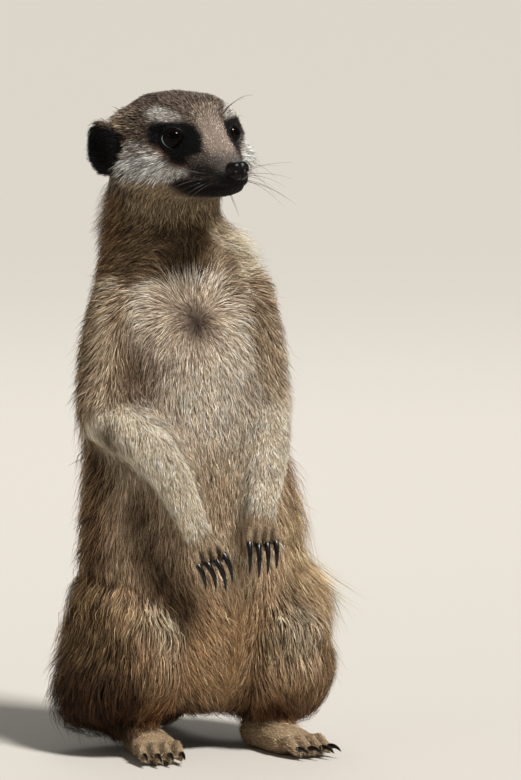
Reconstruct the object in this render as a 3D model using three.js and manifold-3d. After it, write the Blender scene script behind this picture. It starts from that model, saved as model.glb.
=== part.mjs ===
// A life-size meerkat sitting up on its haunches, as one still animal in solids.
// Millimetres, +Z up. The chest faces -Y, and the animal's own left side is +X.
// Each solid's surface is the outer surface of the coat, and neighbours meet with a thin gap.
import * as THREE from "three";
import { mergeVertices } from "three/addons/utils/BufferGeometryUtils.js";
import Module from "manifold-3d";

const wasm = await Module();
wasm.setup();

// ---------- driving dimensions ----------
const GAP = 0.35; // between neighbouring solids
const SKULL = [-4.7, 3.8, 262]; // the middle of the skull, at eye level
const HEAD_TURN = THREE.MathUtils.degToRad(11); // the head looks past the chest to the animal's left
const HEAD_ROLL = THREE.MathUtils.degToRad(-2); // and tips a little to its right
const EYE_RADIUS = 5.6;
const EYE_SPACING = 25.8; // between the eyes' centres
const EYE_FORWARD = 11.4; // eye centres ahead of the skull's middle
const EYE_DROP = 1; // and below it
const EAR_HEIGHT = 24;
const FINGER_SPACING = 4;
const TOE_SPACING = 5.4;
const FRONT_CLAW = 12.5; // a digging claw's length
const HIND_CLAW = 8;

// ---------- colours ----------
const coat = (color) => new THREE.MeshStandardMaterial({ color, roughness: 0.9, metalness: 0 });
const GRIZZLED = coat("#8a7866");
const CREAM = coat("#b8a890");
const TAWNY = coat("#977452");
const SOOT = coat("#1d1815");
const CLAW_HORN = new THREE.MeshStandardMaterial({ color: "#1c1a1a", roughness: 0.3, metalness: 0 });
const EYE_GLASS = new THREE.MeshStandardMaterial({ color: "#0d0907", roughness: 0.05, metalness: 0 });
const NOSE_SKIN = new THREE.MeshStandardMaterial({ color: "#231c1a", roughness: 0.45, metalness: 0 });

// ---------- helpers ----------
const vector = (p) => new THREE.Vector3(...p);
const curveThrough = (points) => new THREE.CatmullRomCurve3(points.map(vector), false, "catmullrom", 0.5);
const mix = (a, b, t) => a.map((value, i) => value + (b[i] - value) * t);
const shifted = (a, ...moves) => moves.reduce((sum, move) => sum.map((value, i) => value + move[i]), a);
const scaled = (a, k) => a.map((value) => value * k);

// A closed surface lofted along a smooth spine. Each station of `size` is [half width, half depth in
// front, half depth behind], and `front` is the way that "in front" looks. A round cap closes an end
// where its `caps` value, the cap's length, isn't 0. `square` above 1 fills the sections' corners out.
function loftSurface(shape, grow = 0) {
  const { spine, size, rings, sides, capRings = 3, caps = [0, 0], front = [0, -1, 0] } = shape;
  const { from = 0, to = 1, square = 1 } = shape;
  const path = curveThrough(spine);
  const sizes = curveThrough(size);
  const frontWay = vector(front);
  const bulge = (value) => Math.sign(value) * Math.abs(value) ** (1 / square);
  const positions = [];
  const addRing = (t, along = 0, shrink = 1) => {
    const tangent = path.getTangent(t);
    const side = frontWay.clone().cross(tangent).normalize();
    const ahead = tangent.clone().cross(side).normalize();
    const centre = path.getPoint(t).addScaledVector(tangent, along);
    const [wide, before, behind] = sizes.getPoint(t).toArray().map((half) => (half + grow) * shrink);
    for (let j = 0; j < sides; j++) {
      const angle = (2 * Math.PI * j) / sides;
      const across = bulge(Math.cos(angle)) * wide;
      const forward = bulge(Math.sin(angle)) * (Math.sin(angle) > 0 ? before : behind);
      const p = centre.clone().addScaledVector(side, across).addScaledVector(ahead, forward);
      positions.push(...p.toArray());
    }
  };
  const [startCap, endCap] = caps.map((length) => length + grow);
  const roundAngles = Array.from({ length: capRings - 1 }, (_, i) => (Math.PI / 2) * ((i + 1) / capRings));
  const capAngles = (length) => (length > 0 ? roundAngles : []);
  for (const angle of capAngles(caps[0]).toReversed()) addRing(from, -startCap * Math.sin(angle), Math.cos(angle));
  for (let i = 0; i <= rings; i++) addRing(from + ((to - from) * i) / rings);
  for (const angle of capAngles(caps[1])) addRing(to, endCap * Math.sin(angle), Math.cos(angle));
  const ringCount = positions.length / 3 / sides;
  const pole = (t, along) => path.getPoint(t).addScaledVector(path.getTangent(t), along).toArray();
  positions.push(...pole(from, -startCap), ...pole(to, endCap));
  const [startPole, endPole] = [ringCount * sides, ringCount * sides + 1];
  const faces = [];
  for (let j = 0; j < sides; j++) {
    const next = (j + 1) % sides;
    faces.push(startPole, next, j);
    faces.push(endPole, (ringCount - 1) * sides + j, (ringCount - 1) * sides + next);
    for (let i = 0; i + 1 < ringCount; i++) {
      const [a, b] = [i * sides + j, i * sides + next];
      faces.push(a, b, a + sides, b, b + sides, a + sides);
    }
  }
  const geometry = new THREE.BufferGeometry();
  geometry.setAttribute("position", new THREE.Float32BufferAttribute(positions, 3));
  geometry.setIndex(faces);
  return geometry;
}

// A three.js geometry as a solid that can be joined and cut.
function solidOf(geometry) {
  const bare = geometry.clone();
  bare.deleteAttribute("normal");
  bare.deleteAttribute("uv");
  const merged = mergeVertices(bare, 1e-4);
  return new wasm.Manifold(new wasm.Mesh({
    numProp: 3,
    vertProperties: new Float32Array(merged.attributes.position.array),
    triVerts: new Uint32Array(merged.index.array),
  }));
}

const loft = (shape, grow = 0) => solidOf(loftSurface(shape, grow));

function ellipsoid(centre, halfSizes, { turn = new THREE.Euler(), detail }) {
  const place = new THREE.Matrix4().compose(
    vector(centre), new THREE.Quaternion().setFromEuler(turn), vector(halfSizes));
  return solidOf(new THREE.SphereGeometry(1, ...detail).applyMatrix4(place));
}

// Puts a solid's largest body into a group as a named mesh, so that no sliver of a cut stays.
function show(group, name, solid, material) {
  const bodies = solid.decompose();
  const main = bodies.reduce((best, body) => (body.volume() > best.volume() ? body : best), bodies[0]);
  const { numProp, vertProperties, triVerts } = main.getMesh();
  const count = vertProperties.length / numProp;
  const positions = new Float32Array(count * 3);
  for (let i = 0; i < count; i++) {
    positions.set(vertProperties.subarray(i * numProp, i * numProp + 3), i * 3);
  }
  const geometry = new THREE.BufferGeometry();
  geometry.setAttribute("position", new THREE.BufferAttribute(positions, 3));
  geometry.setIndex(new THREE.BufferAttribute(triVerts, 1));
  geometry.computeVertexNormals();
  const mesh = new THREE.Mesh(geometry, material);
  mesh.name = name;
  group.add(mesh);
}

const animal = new THREE.Group();
const belowFloor = solidOf(new THREE.BoxGeometry(600, 600, 60).translate(0, 0, -30));

// ---------- trunk ----------
// From the rump up to the shoulders. The animal leans back a little as it rises.
const trunkShape = {
  spine: [
    [0, 13, 22], [0, 12, 42], [0, 11, 72], [-1, 10, 102],
    [-3, 12.5, 132], [-4.5, 15, 160], [-5.5, 17, 182], [-6.5, 18.5, 197],
  ],
  size: [
    [34, 31, 35], [43, 42, 45], [48, 44, 46], [49, 42, 43.5],
    [44, 38, 39], [39, 34, 36.5], [36.5, 30, 33], [35, 28, 30],
  ],
  rings: 10,
  sides: 16,
  caps: [11, 12],
};
const nearTrunk = loft(trunkShape, GAP);
show(animal, "trunk", loft(trunkShape), CREAM);

// ---------- head ----------
// The head has a frame of its own: x is the animal's left, -y is forward to the nose, and z is up
// from eye level.
const head = new THREE.Group();
head.position.set(...SKULL);
head.rotation.set(0, HEAD_ROLL, HEAD_TURN);
head.updateMatrix();
animal.add(head);

// Cross-sections from the back of the skull to the muzzle: how far forward, the height of the widest
// level, the half width there, and the heights of the top and the underside.
const headSections = [
  { forward: -35, level: -7, wide: 13, top: 2, under: -16 },
  { forward: -29, level: -9, wide: 22, top: 11.5, under: -25 },
  { forward: -19, level: -11, wide: 27.5, top: 16.8, under: -30 },
  { forward: -7, level: -12.5, wide: 30.5, top: 17.8, under: -31 },
  { forward: 4, level: -13, wide: 28.6, top: 16.2, under: -30.5 },
  { forward: 13, level: -14, wide: 21.5, top: 9.8, under: -29.5 },
  { forward: 21, level: -16, wide: 14, top: 0.2, under: -28.3 },
  { forward: 29, level: -18, wide: 10.4, top: -6.5, under: -27.2 },
  { forward: 36, level: -18.5, wide: 8.8, top: -10, under: -25.5 },
  { forward: 40, level: -18.5, wide: 6.4, top: -12.5, under: -23 },
];
const skullShape = {
  spine: headSections.map((s) => [0, -s.forward, s.level]),
  size: headSections.map((s) => [s.wide, s.top - s.level, s.level - s.under]),
  front: [0, 0, 1],
  rings: 15,
  sides: 16,
  caps: [5, 2.5],
  square: 1.12,
};
const nose = { at: [0, -41.5, -15], half: [5, 4, 4.2], detail: [12, 8] };
const eyeCentre = (side) => [side * EYE_SPACING / 2, -EYE_FORWARD, -EYE_DROP];
const eyeball = (side, grow = 0) => ellipsoid(eyeCentre(side), Array(3).fill(EYE_RADIUS + grow), { detail: [12, 7] });

// The lids' opening, which widens forward and outward from the eye.
const lidOpening = (side) => loft({
  spine: [eyeCentre(side), shifted(eyeCentre(side), [side * 8, -11, 1])],
  size: [[4.4, 4, 3.8], [9.5, 7, 7]],
  front: [0, 0, 1],
  rings: 1,
  sides: 10,
});

// A low, rounded ear: a shallow cup set on the side of the head, open outward and a little forward.
function ear(side) {
  const centre = [side * 32, 14.5, -6.4];
  const turn = new THREE.Euler(0, side * 0.16, side * 1.17, "ZYX");
  const shell = ellipsoid(centre, [8.2, 4, EAR_HEIGHT / 2], { turn, detail: [12, 7] });
  const hollowAt = shifted(centre, [side * 2.6, -1.4, 0.6]);
  const hollow = ellipsoid(hollowAt, [6, 2.9, EAR_HEIGHT / 2 - 3], { turn, detail: [10, 6] });
  return shell.subtract(hollow).subtract(loft(skullShape, GAP));
}

let skull = loft(skullShape).subtract(ellipsoid(nose.at, nose.half.map((h) => h + GAP), nose));
for (const [label, side] of [["right", -1], ["left", 1]]) {
  skull = skull.subtract(eyeball(side, GAP)).subtract(lidOpening(side));
  show(head, `ear_${label}`, ear(side), SOOT);
  show(head, `eye_${label}`, eyeball(side), EYE_GLASS);
}
show(head, "nose", ellipsoid(nose.at, nose.half, nose), NOSE_SKIN);
show(head, "head", skull, GRIZZLED);

// ---------- neck ----------
// It flares into the shoulders below, and its nape is fuller than its throat.
const neckShape = {
  spine: [[-6, 18, 194], [-7, 20, 204], [-8, 21, 214], [-9, 21, 224], [-8.5, 18, 238], [-6, 13, 252]],
  size: [[35, 28, 30], [34, 27.5, 29], [30, 26, 28], [26, 25, 27], [24.5, 24, 27], [22, 22, 22]],
  rings: 5,
  sides: 14,
  caps: [0, 6],
};
const nearHead = solidOf(loftSurface(skullShape, GAP).applyMatrix4(head.matrix));
const nearNeck = loft(neckShape, GAP);
show(animal, "neck", loft(neckShape).subtract(nearTrunk).subtract(nearHead), CREAM);

// ---------- arms and hands ----------
// Each arm hangs at the side, bends at the elbow and brings the hand down in front of the belly.
const arms = {
  right: {
    upper: [[-31.5, 10, 192], [-37.5, 7, 169], [-41, 3, 145]],
    upperSize: [[14, 14, 15], [14, 14, 15.5], [13.5, 13.5, 14.5]],
    fore: [[-40, 2, 142], [-32.5, -19, 133.5], [-23.5, -31, 119.5], [-17.8, -38, 103], [-15, -40, 96.5]],
    foreSize: [[14, 13, 13.5], [12.2, 12, 12], [9.8, 9.8, 9.6], [8, 7.6, 7.6], [6.5, 6.4, 6.4]],
    hang: [5.3, -2.6, -12.9],
    across: [0.92, 0, 0.38],
  },
  left: {
    upper: [[25.5, 10, 193], [30.5, 6.5, 169], [30, -1, 147]],
    upperSize: [[12.5, 13, 14], [10.8, 12, 13], [10.4, 11, 12]],
    fore: [[29.5, -3, 145], [25.6, -17, 133], [21.2, -26, 122], [16.5, -34, 110], [14.2, -37, 103.5]],
    foreSize: [[10.6, 10.6, 11], [10.2, 10.4, 10.4], [9, 9.4, 9.4], [7.8, 7.6, 7.6], [6.9, 6.4, 6.4]],
    hang: [-0.7, -2.8, -14],
    across: [1, 0, -0.05],
  },
};

// A curved claw: a round taper that leaves its root along `way` and bends towards `bend`.
function claw({ root, way, bend, length, radius }, grow = 0) {
  const unit = vector(way).normalize().toArray();
  const arch = vector(bend).normalize().toArray();
  const at = (t) => shifted(root, scaled(unit, length * t), scaled(arch, length * 0.3 * t * t));
  return loft({
    spine: [at(0), at(0.35), at(0.7), at(1)],
    size: [[0.85, 1, 1], [0.8, 1, 0.9], [0.55, 0.7, 0.6], [0.23, 0.23, 0.23]].map((s) => scaled(s, radius)),
    front: arch,
    rings: 2,
    sides: 5,
    capRings: 1,
    caps: [0.6, 0.5],
  }, grow);
}

// A hand or foot: its palm joined with four digits, less a socket for each claw.
function showPaw({ name, palm, digits, cutters }) {
  let solid = loft({ rings: 2, sides: 9, capRings: 2, ...palm });
  digits.forEach(({ shape }) => {
    solid = solid.add(loft({ rings: 2, sides: 5, capRings: 2, ...shape }));
  });
  digits.forEach((digit, i) => {
    solid = solid.subtract(claw(digit.claw, GAP));
    show(animal, `${name}_claw_${i + 1}`, claw(digit.claw).subtract(belowFloor), CLAW_HORN);
  });
  cutters.forEach((cutter) => {
    solid = solid.subtract(cutter);
  });
  show(animal, name, solid.subtract(belowFloor), CREAM);
}

for (const [label, arm] of Object.entries(arms)) {
  const side = label === "right" ? -1 : 1;
  const upperShape = { spine: arm.upper, size: arm.upperSize, rings: 4, sides: 11, caps: [12, 9] };
  const foreShape = { spine: arm.fore, size: arm.foreSize, front: [0, -0.6, 0.8], rings: 6, sides: 11, caps: [10, 2] };
  const nearForearm = loft(foreShape, GAP);
  const upperArm = loft(upperShape).subtract(nearTrunk).subtract(nearNeck).subtract(nearForearm);
  show(animal, `upper_arm_${label}`, upperArm, CREAM);
  show(animal, `forearm_${label}`, loft(foreShape).subtract(nearTrunk), CREAM);

  const wrist = arm.fore.at(-1);
  const knuckles = shifted(wrist, scaled(arm.hang, 0.55));
  const across = vector(arm.across).normalize().toArray();
  const digits = [-1.5, -0.5, 0.5, 1.5].map((place) => {
    const reach = 1 - 0.12 * Math.abs(place + 0.4 * side); // the middle fingers are the longest
    const start = shifted(knuckles, scaled(across, place * FINGER_SPACING * 0.85));
    const tip = shifted(knuckles, scaled(across, place * FINGER_SPACING), scaled(arm.hang, 0.46 * reach));
    return {
      shape: {
        spine: [start, shifted(mix(start, tip, 0.55), [0, -0.8, 0]), tip],
        size: [[2.2, 2.8, 2.4], [2.1, 2.5, 2.2], [1.7, 1.9, 1.8]],
        caps: [0, 1.5],
      },
      claw: {
        root: shifted(tip, scaled(arm.hang, -0.04), [0, -0.7, 0]),
        way: shifted(arm.hang, [0, -3, 0]),
        bend: [-0.35 * arm.hang[0], 6, -3],
        length: FRONT_CLAW * reach,
        radius: 1.2,
      },
    };
  });
  const palm = {
    spine: [wrist, mix(wrist, knuckles, 0.55), knuckles],
    size: [[6.4, 5.8, 5.6], [7, 5, 4.8], [7.2, 3.9, 3.6]],
    caps: [3, 2.5],
  };
  showPaw({ name: `hand_${label}`, palm, digits, cutters: [nearForearm, nearTrunk] });
}

// ---------- legs and feet ----------
// The thigh runs forward from the hip to the knee, the shank back down to the heel, and the foot
// lies flat on the floor below them.
const feet = {
  right: { heel: [-29, 3, 7], ball: [-29.5, -27, 5.6], toes: [-31.5, -43.5, 3.4] },
  left: { heel: [23.5, 1, 7], ball: [30.5, -30, 5.6], toes: [36, -47, 3.4] },
};
for (const [label, foot] of Object.entries(feet)) {
  const side = label === "right" ? -1 : 1;
  const thighShape = {
    spine: [[side * 27, 21, 61], [side * 31.5, -2, 57], [side * 31.5, -25, 51]],
    size: [[28, 28, 36], [25.5, 27, 33], [15.5, 15.5, 18]],
    front: [0, 0, 1],
    rings: 5,
    sides: 14,
    caps: [20, 14],
    square: 1.12,
  };
  const shankShape = {
    spine: [[side * 31, -21, 40], [side * 35, -6, 31], [side * 34.5, 14, 26]],
    size: [[15.5, 17, 19], [22.5, 30, 22], [24, 34, 18]],
    front: [0, 0, 1],
    rings: 4,
    sides: 14,
    caps: [16, 18],
    square: 1.12,
  };
  const nearThigh = loft(thighShape, GAP);
  const nearShank = loft(shankShape, GAP);
  show(animal, `thigh_${label}`, loft(thighShape).subtract(nearTrunk), TAWNY);
  show(animal, `shank_${label}`, loft(shankShape).subtract(nearTrunk).subtract(nearThigh), TAWNY);

  const forward = vector(foot.toes).sub(vector(foot.ball)).setZ(0).normalize().toArray();
  const across = [-forward[1], forward[0], 0];
  const digits = [-1.5, -0.5, 0.5, 1.5].map((place) => {
    const reach = 1 - 0.09 * Math.abs(place - 0.3 * side); // the inner and outer toes are shorter
    const start = shifted(foot.ball, scaled(across, place * TOE_SPACING * 0.8), [0, 0, 0.3]);
    const tip = shifted(foot.ball, scaled(across, place * TOE_SPACING), scaled(forward, 16.5 * reach), [0, 0, -2.2]);
    return {
      shape: {
        spine: [start, shifted(mix(start, tip, 0.55), [0, 0, 2.2]), tip],
        size: [[2.9, 3.6, 5], [2.9, 3.3, 5], [2.3, 2.6, 3.4]],
        front: [0, 0, 1],
        caps: [0, 2.2],
      },
      claw: {
        root: shifted(tip, scaled(forward, 0.8), [0, 0, 0.8]),
        way: shifted(forward, [0, 0, 0.12]),
        bend: [0, 0, -1],
        length: HIND_CLAW * reach,
        radius: 1.15,
      },
    };
  });
  const palm = {
    spine: [foot.heel, mix(foot.heel, foot.ball, 0.5), foot.ball],
    size: [[6, 7, 8], [7.5, 8, 8], [10.5, 6.6, 7]],
    front: [0, 0, 1],
    caps: [6, 6],
  };
  showPaw({ name: `foot_${label}`, palm, digits, cutters: [nearShank, nearThigh, nearTrunk] });
}

// ---------- tail ----------
// The tail props the animal up: it leaves the rump, lies on the floor behind and curves to its left.
const tailShape = {
  spine: [
    [1, 40, 24], [2, 60, 15], [4, 88, 11], [13, 118, 9.6],
    [32, 144, 8.4], [57, 157, 7.4], [80, 153, 6.4], [92, 139, 5.2],
  ],
  size: [
    [16, 16, 18], [13.5, 13.5, 16], [11, 11, 12.5], [9.8, 9.8, 11],
    [8.6, 8.6, 9.6], [7.6, 7.6, 8.4], [6.4, 6.4, 7.2], [4, 4, 5.6],
  ],
  front: [0, 0, 1],
  rings: 5,
  sides: 10,
};
const tailLengths = [
  { name: "tail_base", from: 0, to: 0.36, tipCap: 0, material: TAWNY },
  { name: "tail_middle", from: 0.3625, to: 0.7, tipCap: 0, material: TAWNY },
  { name: "tail_tip", from: 0.7025, to: 1, tipCap: 5, material: SOOT },
];
for (const { name, from, to, tipCap, material } of tailLengths) {
  const length = loft({ ...tailShape, from, to, caps: [0, tipCap] });
  show(animal, name, length.subtract(nearTrunk).subtract(belowFloor), material);
}

// ---------- the part's frame ----------
// The origin is on the floor, below the middle of the whole animal's box.
const box = new THREE.Box3().setFromObject(animal);
animal.position.set(-(box.min.x + box.max.x) / 2, -(box.min.y + box.max.y) / 2, 0);

export default animal;
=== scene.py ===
# %% [markdown]
# # A meerkat on its haunches, life size
# A meerkat sits upright with its hands hanging before its belly. What the eye meets is almost all coat: long
# coarse hair, each strand dark at the root, pale in the middle and dark or pale again at the tip. So the
# lesson makes a skin, works out which way the hair lies on every part of it, and plants solid tufts along
# that lie. Eyes, nose leather, claws and whiskers are made by themselves.

import math

import bpy
import numpy as np
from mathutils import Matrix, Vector
from mathutils.bvhtree import BVHTree


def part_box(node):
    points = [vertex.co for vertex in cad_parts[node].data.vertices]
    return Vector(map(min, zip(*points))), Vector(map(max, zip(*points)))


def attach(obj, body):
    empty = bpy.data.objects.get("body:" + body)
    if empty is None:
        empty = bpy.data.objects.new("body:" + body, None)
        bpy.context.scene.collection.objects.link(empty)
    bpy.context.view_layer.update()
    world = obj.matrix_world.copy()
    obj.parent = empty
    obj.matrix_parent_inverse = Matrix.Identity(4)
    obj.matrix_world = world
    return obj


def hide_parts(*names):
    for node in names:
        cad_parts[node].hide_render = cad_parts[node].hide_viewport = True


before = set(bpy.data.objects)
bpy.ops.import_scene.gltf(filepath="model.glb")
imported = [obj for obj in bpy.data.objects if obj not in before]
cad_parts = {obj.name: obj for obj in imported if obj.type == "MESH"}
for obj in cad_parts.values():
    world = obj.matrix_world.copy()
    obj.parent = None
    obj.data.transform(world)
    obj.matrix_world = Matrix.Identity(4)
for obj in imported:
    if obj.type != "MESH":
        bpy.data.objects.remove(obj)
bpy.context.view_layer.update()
MM = 0.001
SIDES = (("right", -1), ("left", 1))
UP = np.array([0, 0, 1.0])
chance = np.random.default_rng(11)

# %% [markdown]
# ## Camera, floor and light
# A museum model is shown on a plain pale floor. One large lamp high on the right is the key, as a low sun
# would be, and two weaker ones fill the shade and draw the coat's edge. A long lens keeps the proportions
# of an animal seen from a few metres away.

# %% Camera
VIEW_AZIMUTH = math.radians(-20)
VIEW_ELEVATION = math.radians(5)
VIEW_DISTANCE = 2.5
VIEW_CENTRE = Vector((0.0098, -0.0518, 0.1516))
PICTURE_HEIGHT = 0.3315  # of the upright plane through the view's centre
SENSOR = 36


def direction(azimuth, elevation):
    """The way out from the animal: azimuth 0 is in front of its chest, and 90 degrees is at its left."""
    level = math.cos(elevation)
    return Vector((math.sin(azimuth) * level, -math.cos(azimuth) * level, math.sin(elevation)))


def aim(thing, place, target):
    """Puts a camera or lamp at a place and turns its -Z to a target."""
    thing.location = place
    thing.rotation_euler = (target - place).to_track_quat("-Z", "Y").to_euler()


camera = bpy.data.objects.new("camera", bpy.data.cameras.new("camera"))
bpy.context.scene.collection.objects.link(camera)
camera.data.sensor_width = SENSOR
camera.data.lens = SENSOR * VIEW_DISTANCE / PICTURE_HEIGHT
aim(camera, VIEW_CENTRE + direction(VIEW_AZIMUTH, VIEW_ELEVATION) * VIEW_DISTANCE, VIEW_CENTRE)
bpy.context.scene.camera = camera
print("lens in mm:", round(camera.data.lens, 1))

# %% Colours and nodes


def linear(hex_colour):
    """An sRGB hex colour as linear red, green and blue."""
    srgb = np.array([int(hex_colour[i:i + 2], 16) for i in (1, 3, 5)]) / 255
    return np.where(srgb <= 0.04045, srgb / 12.92, ((srgb + 0.055) / 1.055) ** 2.4)


def rgba(hex_colour):
    """The same as the four values of a colour socket."""
    return (*linear(hex_colour), 1)


def add_node(tree, kind, settings=None, inputs=None):
    """Adds a node. Each input is a value, or another node's output to link."""
    made = tree.nodes.new("ShaderNode" + kind)
    for name, value in (settings or {}).items():
        setattr(made, name, value)
    for name, value in (inputs or {}).items():
        if isinstance(value, bpy.types.NodeSocket):
            tree.links.new(value, made.inputs[name])
        else:
            made.inputs[name].default_value = value
    return made


def start_material(name):
    """An empty node tree with its output, and the material."""
    material = bpy.data.materials.new(name)
    material.use_nodes = True
    material.node_tree.nodes.clear()
    return material, material.node_tree


def finish_material(material, settings):
    """Adds the shader with its settings and links it to the material's output."""
    shader = add_node(material.node_tree, "BsdfPrincipled", inputs=settings)
    add_node(material.node_tree, "OutputMaterial", inputs={"Surface": shader.outputs["BSDF"]})
    return material


def own_place(tree):
    """Where a point lies on the object itself."""
    return add_node(tree, "TexCoord").outputs["Object"]


def noise(tree, place, scale, detail):
    """A cloudy pattern from 0 to 1 over a place."""
    made = add_node(tree, "TexNoise", inputs={"Vector": place, "Scale": scale, "Detail": detail})
    return made.outputs["Fac"]


def bumped(tree, height, strength, distance):
    """Normals tilted by a height pattern, distance metres deep."""
    made = add_node(tree, "Bump", inputs={"Height": height, "Strength": strength, "Distance": distance})
    return made.outputs["Normal"]


def shaded(tree, colour, pattern, lowest, highest, between=(0.3, 0.7)):
    """A colour times a shade that goes from lowest to highest while a pattern goes between two values."""
    shade = add_node(tree, "MapRange", inputs={
        "Value": pattern, "From Min": between[0], "From Max": between[1],
        "To Min": lowest, "To Max": highest})
    return add_node(tree, "VectorMath", {"operation": "SCALE"}, {
        0: colour, "Scale": shade.outputs["Result"]}).outputs["Vector"]


# %% Floor and lamps
PALE_FLOOR = "#bdb7ad"
ROOM_LIGHT = "#e8e6e2"
ROOM_STRENGTH = 0.27
FLOOR_HALF = 40  # metres, so that its far edge is above the picture
KEY_SPREAD = math.radians(12)
# Each lamp's kind, azimuth and elevation in degrees, distance and size in metres, and strength.
LAMPS = {
    "key": ("SUN", 24, 52, 3.0, 0, 5.0),
    "fill": ("AREA", -75, 20, 2.4, 1.6, 3.0),
    "edge": ("AREA", 165, 45, 2.2, 1.0, 8.0),
}
floor_mesh = bpy.data.meshes.new("floor")
corners = [(x * FLOOR_HALF, y * FLOOR_HALF, 0) for x, y in ((-1, -1), (1, -1), (1, 1), (-1, 1))]
floor_mesh.from_pydata(corners, [], [(0, 1, 2, 3)])
floor = bpy.data.objects.new("floor", floor_mesh)
bpy.context.scene.collection.objects.link(floor)
plaster, _ = start_material("painted plaster floor")
finish_material(plaster, {"Base Color": rgba(PALE_FLOOR), "Roughness": 0.8})
floor_mesh.materials.append(plaster)
for name, (kind, azimuth, elevation, distance, size, strength) in LAMPS.items():
    lamp = bpy.data.objects.new(name, bpy.data.lights.new(name, kind))
    if kind == "SUN":
        lamp.data.angle = KEY_SPREAD
    else:
        lamp.data.size = size
    lamp.data.energy = strength
    bpy.context.scene.collection.objects.link(lamp)
    aim(lamp, VIEW_CENTRE + direction(math.radians(azimuth), math.radians(elevation)) * distance, VIEW_CENTRE)
world = bpy.data.worlds.new("studio")
world.use_nodes = True
background = world.node_tree.nodes["Background"]
background.inputs["Color"].default_value = rgba(ROOM_LIGHT)
background.inputs["Strength"].default_value = ROOM_STRENGTH
bpy.context.scene.world = world
bpy.context.scene.view_settings.view_transform = "Standard"
print("lamps:", *LAMPS)

# %% [markdown]
# ## From arrays to meshes
# Every new surface here is worked out with numpy as whole arrays of points. A few small functions are
# enough: one turns arrays into an object, one reads a mesh back, one numbers the triangles of a closed grid,
# and one carries a round profile along a path.

# %% Arrays to objects and back


def new_object(name, points, faces, material):
    """An object from an N x 3 array of points and an F x k array of faces."""
    mesh = bpy.data.meshes.new(name)
    count, size = faces.shape
    mesh.vertices.add(len(points))
    mesh.vertices.foreach_set("co", points.astype(np.float32).ravel())
    mesh.loops.add(count * size)
    mesh.loops.foreach_set("vertex_index", faces.astype(np.int32).ravel())
    mesh.polygons.add(count)
    mesh.polygons.foreach_set("loop_start", np.arange(0, count * size, size, dtype=np.int32))
    mesh.polygons.foreach_set("use_smooth", np.ones(count, bool))
    mesh.update(calc_edges=True)
    mesh.validate()
    mesh.materials.append(material)
    made = bpy.data.objects.new(name, mesh)
    bpy.context.scene.collection.objects.link(made)
    return made


def points_of(mesh):
    """The mesh's points as an N x 3 array."""
    flat = np.empty(len(mesh.vertices) * 3, np.float32)
    mesh.vertices.foreach_get("co", flat)
    return flat.reshape(-1, 3).astype(float)


def unit(v):
    """Vectors scaled to length one, along the last axis."""
    return v / np.maximum(np.linalg.norm(v, axis=-1, keepdims=True), 1e-12)


def dot(a, b):
    """Row by row dot product, kept as a column."""
    return (a * b).sum(axis=-1, keepdims=True)


def smoothstep(low, high, x):
    """0 below low, 1 above high, and 3t^2 - 2t^3 between them."""
    t = np.clip((x - low) / (high - low), 0, 1)
    return t * t * (3 - 2 * t)


def grid_faces(rows, columns):
    """Triangles of a grid closed round its columns, with a pole before the first row and one after the last.
    The poles are the two points after the grid's own."""
    i, j = np.meshgrid(np.arange(rows - 1), np.arange(columns), indexing="ij")
    a, b = i * columns + j, i * columns + (j + 1) % columns
    walls = np.concatenate([np.stack([a, b, b + columns], -1), np.stack([a, b + columns, a + columns], -1)])
    j = np.arange(columns)
    following, last = (j + 1) % columns, (rows - 1) * columns
    start = np.stack([following, j, np.full(columns, rows * columns)], -1)
    end = np.stack([last + j, last + following, np.full(columns, rows * columns + 1)], -1)
    return np.concatenate([walls.reshape(-1, 3), start, end])


def tube(path, radii, sides, beside):
    """A round profile carried along a path: point(i, j) = path_i + r_i (cos a_j side_i + sin a_j over_i),
    with a pole at each end, where side_i is square to the path and to the direction beside. Returns points
    and triangles that face outwards."""
    ahead = unit(np.gradient(path, axis=0))
    side = unit(np.cross(np.asarray(beside), ahead))
    over = np.cross(ahead, side)
    angles = np.linspace(0, 2 * np.pi, sides, endpoint=False)
    around = side[:, None] * np.cos(angles)[None, :, None] + over[:, None] * np.sin(angles)[None, :, None]
    rings = path[:, None] + around * np.asarray(radii)[:, None, None]
    return np.vstack([rings.reshape(-1, 3), path[:1], path[-1:]]), grid_faces(len(path), sides)


def joined(parts):
    """Several (points, faces) pairs as one pair."""
    starts = np.cumsum([0] + [len(points) for points, _ in parts[:-1]])
    return (np.vstack([points for points, _ in parts]),
            np.vstack([faces + start for (_, faces), start in zip(parts, starts)]))


# %% [markdown]
# ## Landmarks
# The head has a frame of its own, and every mark of the face is placed in it: x to the animal's left, -y
# forward along the muzzle, z up from eye level, in millimetres. The eyes and the nose of the frame give it.

# %% The head's own frame
EYE_RADIUS = 5.6
EYE_SOLID = np.array([12.9, -11.4, -1.0])  # the left eye's plain solid, from the skull's middle
EYE_LOCAL = EYE_SOLID + np.array([0.2, -0.6, -0.9])  # the ball itself, a little lower and further forward
NOSE_LOCAL = np.array([0, -41.5, -15.0])
NOSE_HALF = np.array([4.7, 4.0, 4.2])


def middle(node):
    """The middle of a node's box, in metres."""
    low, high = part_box(node)
    return np.array((low + high) / 2)


eye_middle = (middle("eye_left") + middle("eye_right")) / 2
head_x = unit(middle("eye_left") - middle("eye_right"))
to_nose = unit(middle("nose") - eye_middle)
head_up = unit(np.cross(head_x, to_nose))
head_up = head_up * np.sign(head_up[2])
dip = math.atan2(EYE_SOLID[2] - NOSE_LOCAL[2], EYE_SOLID[1] - NOSE_LOCAL[1])
head_forward = to_nose * math.cos(dip) + head_up * math.sin(dip)
head_z = head_up * math.cos(dip) - to_nose * math.sin(dip)
head_axes = np.stack([head_x, -head_forward, head_z], axis=1)
skull = eye_middle - head_axes @ (EYE_SOLID * [0, 1, 1]) * MM


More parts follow.
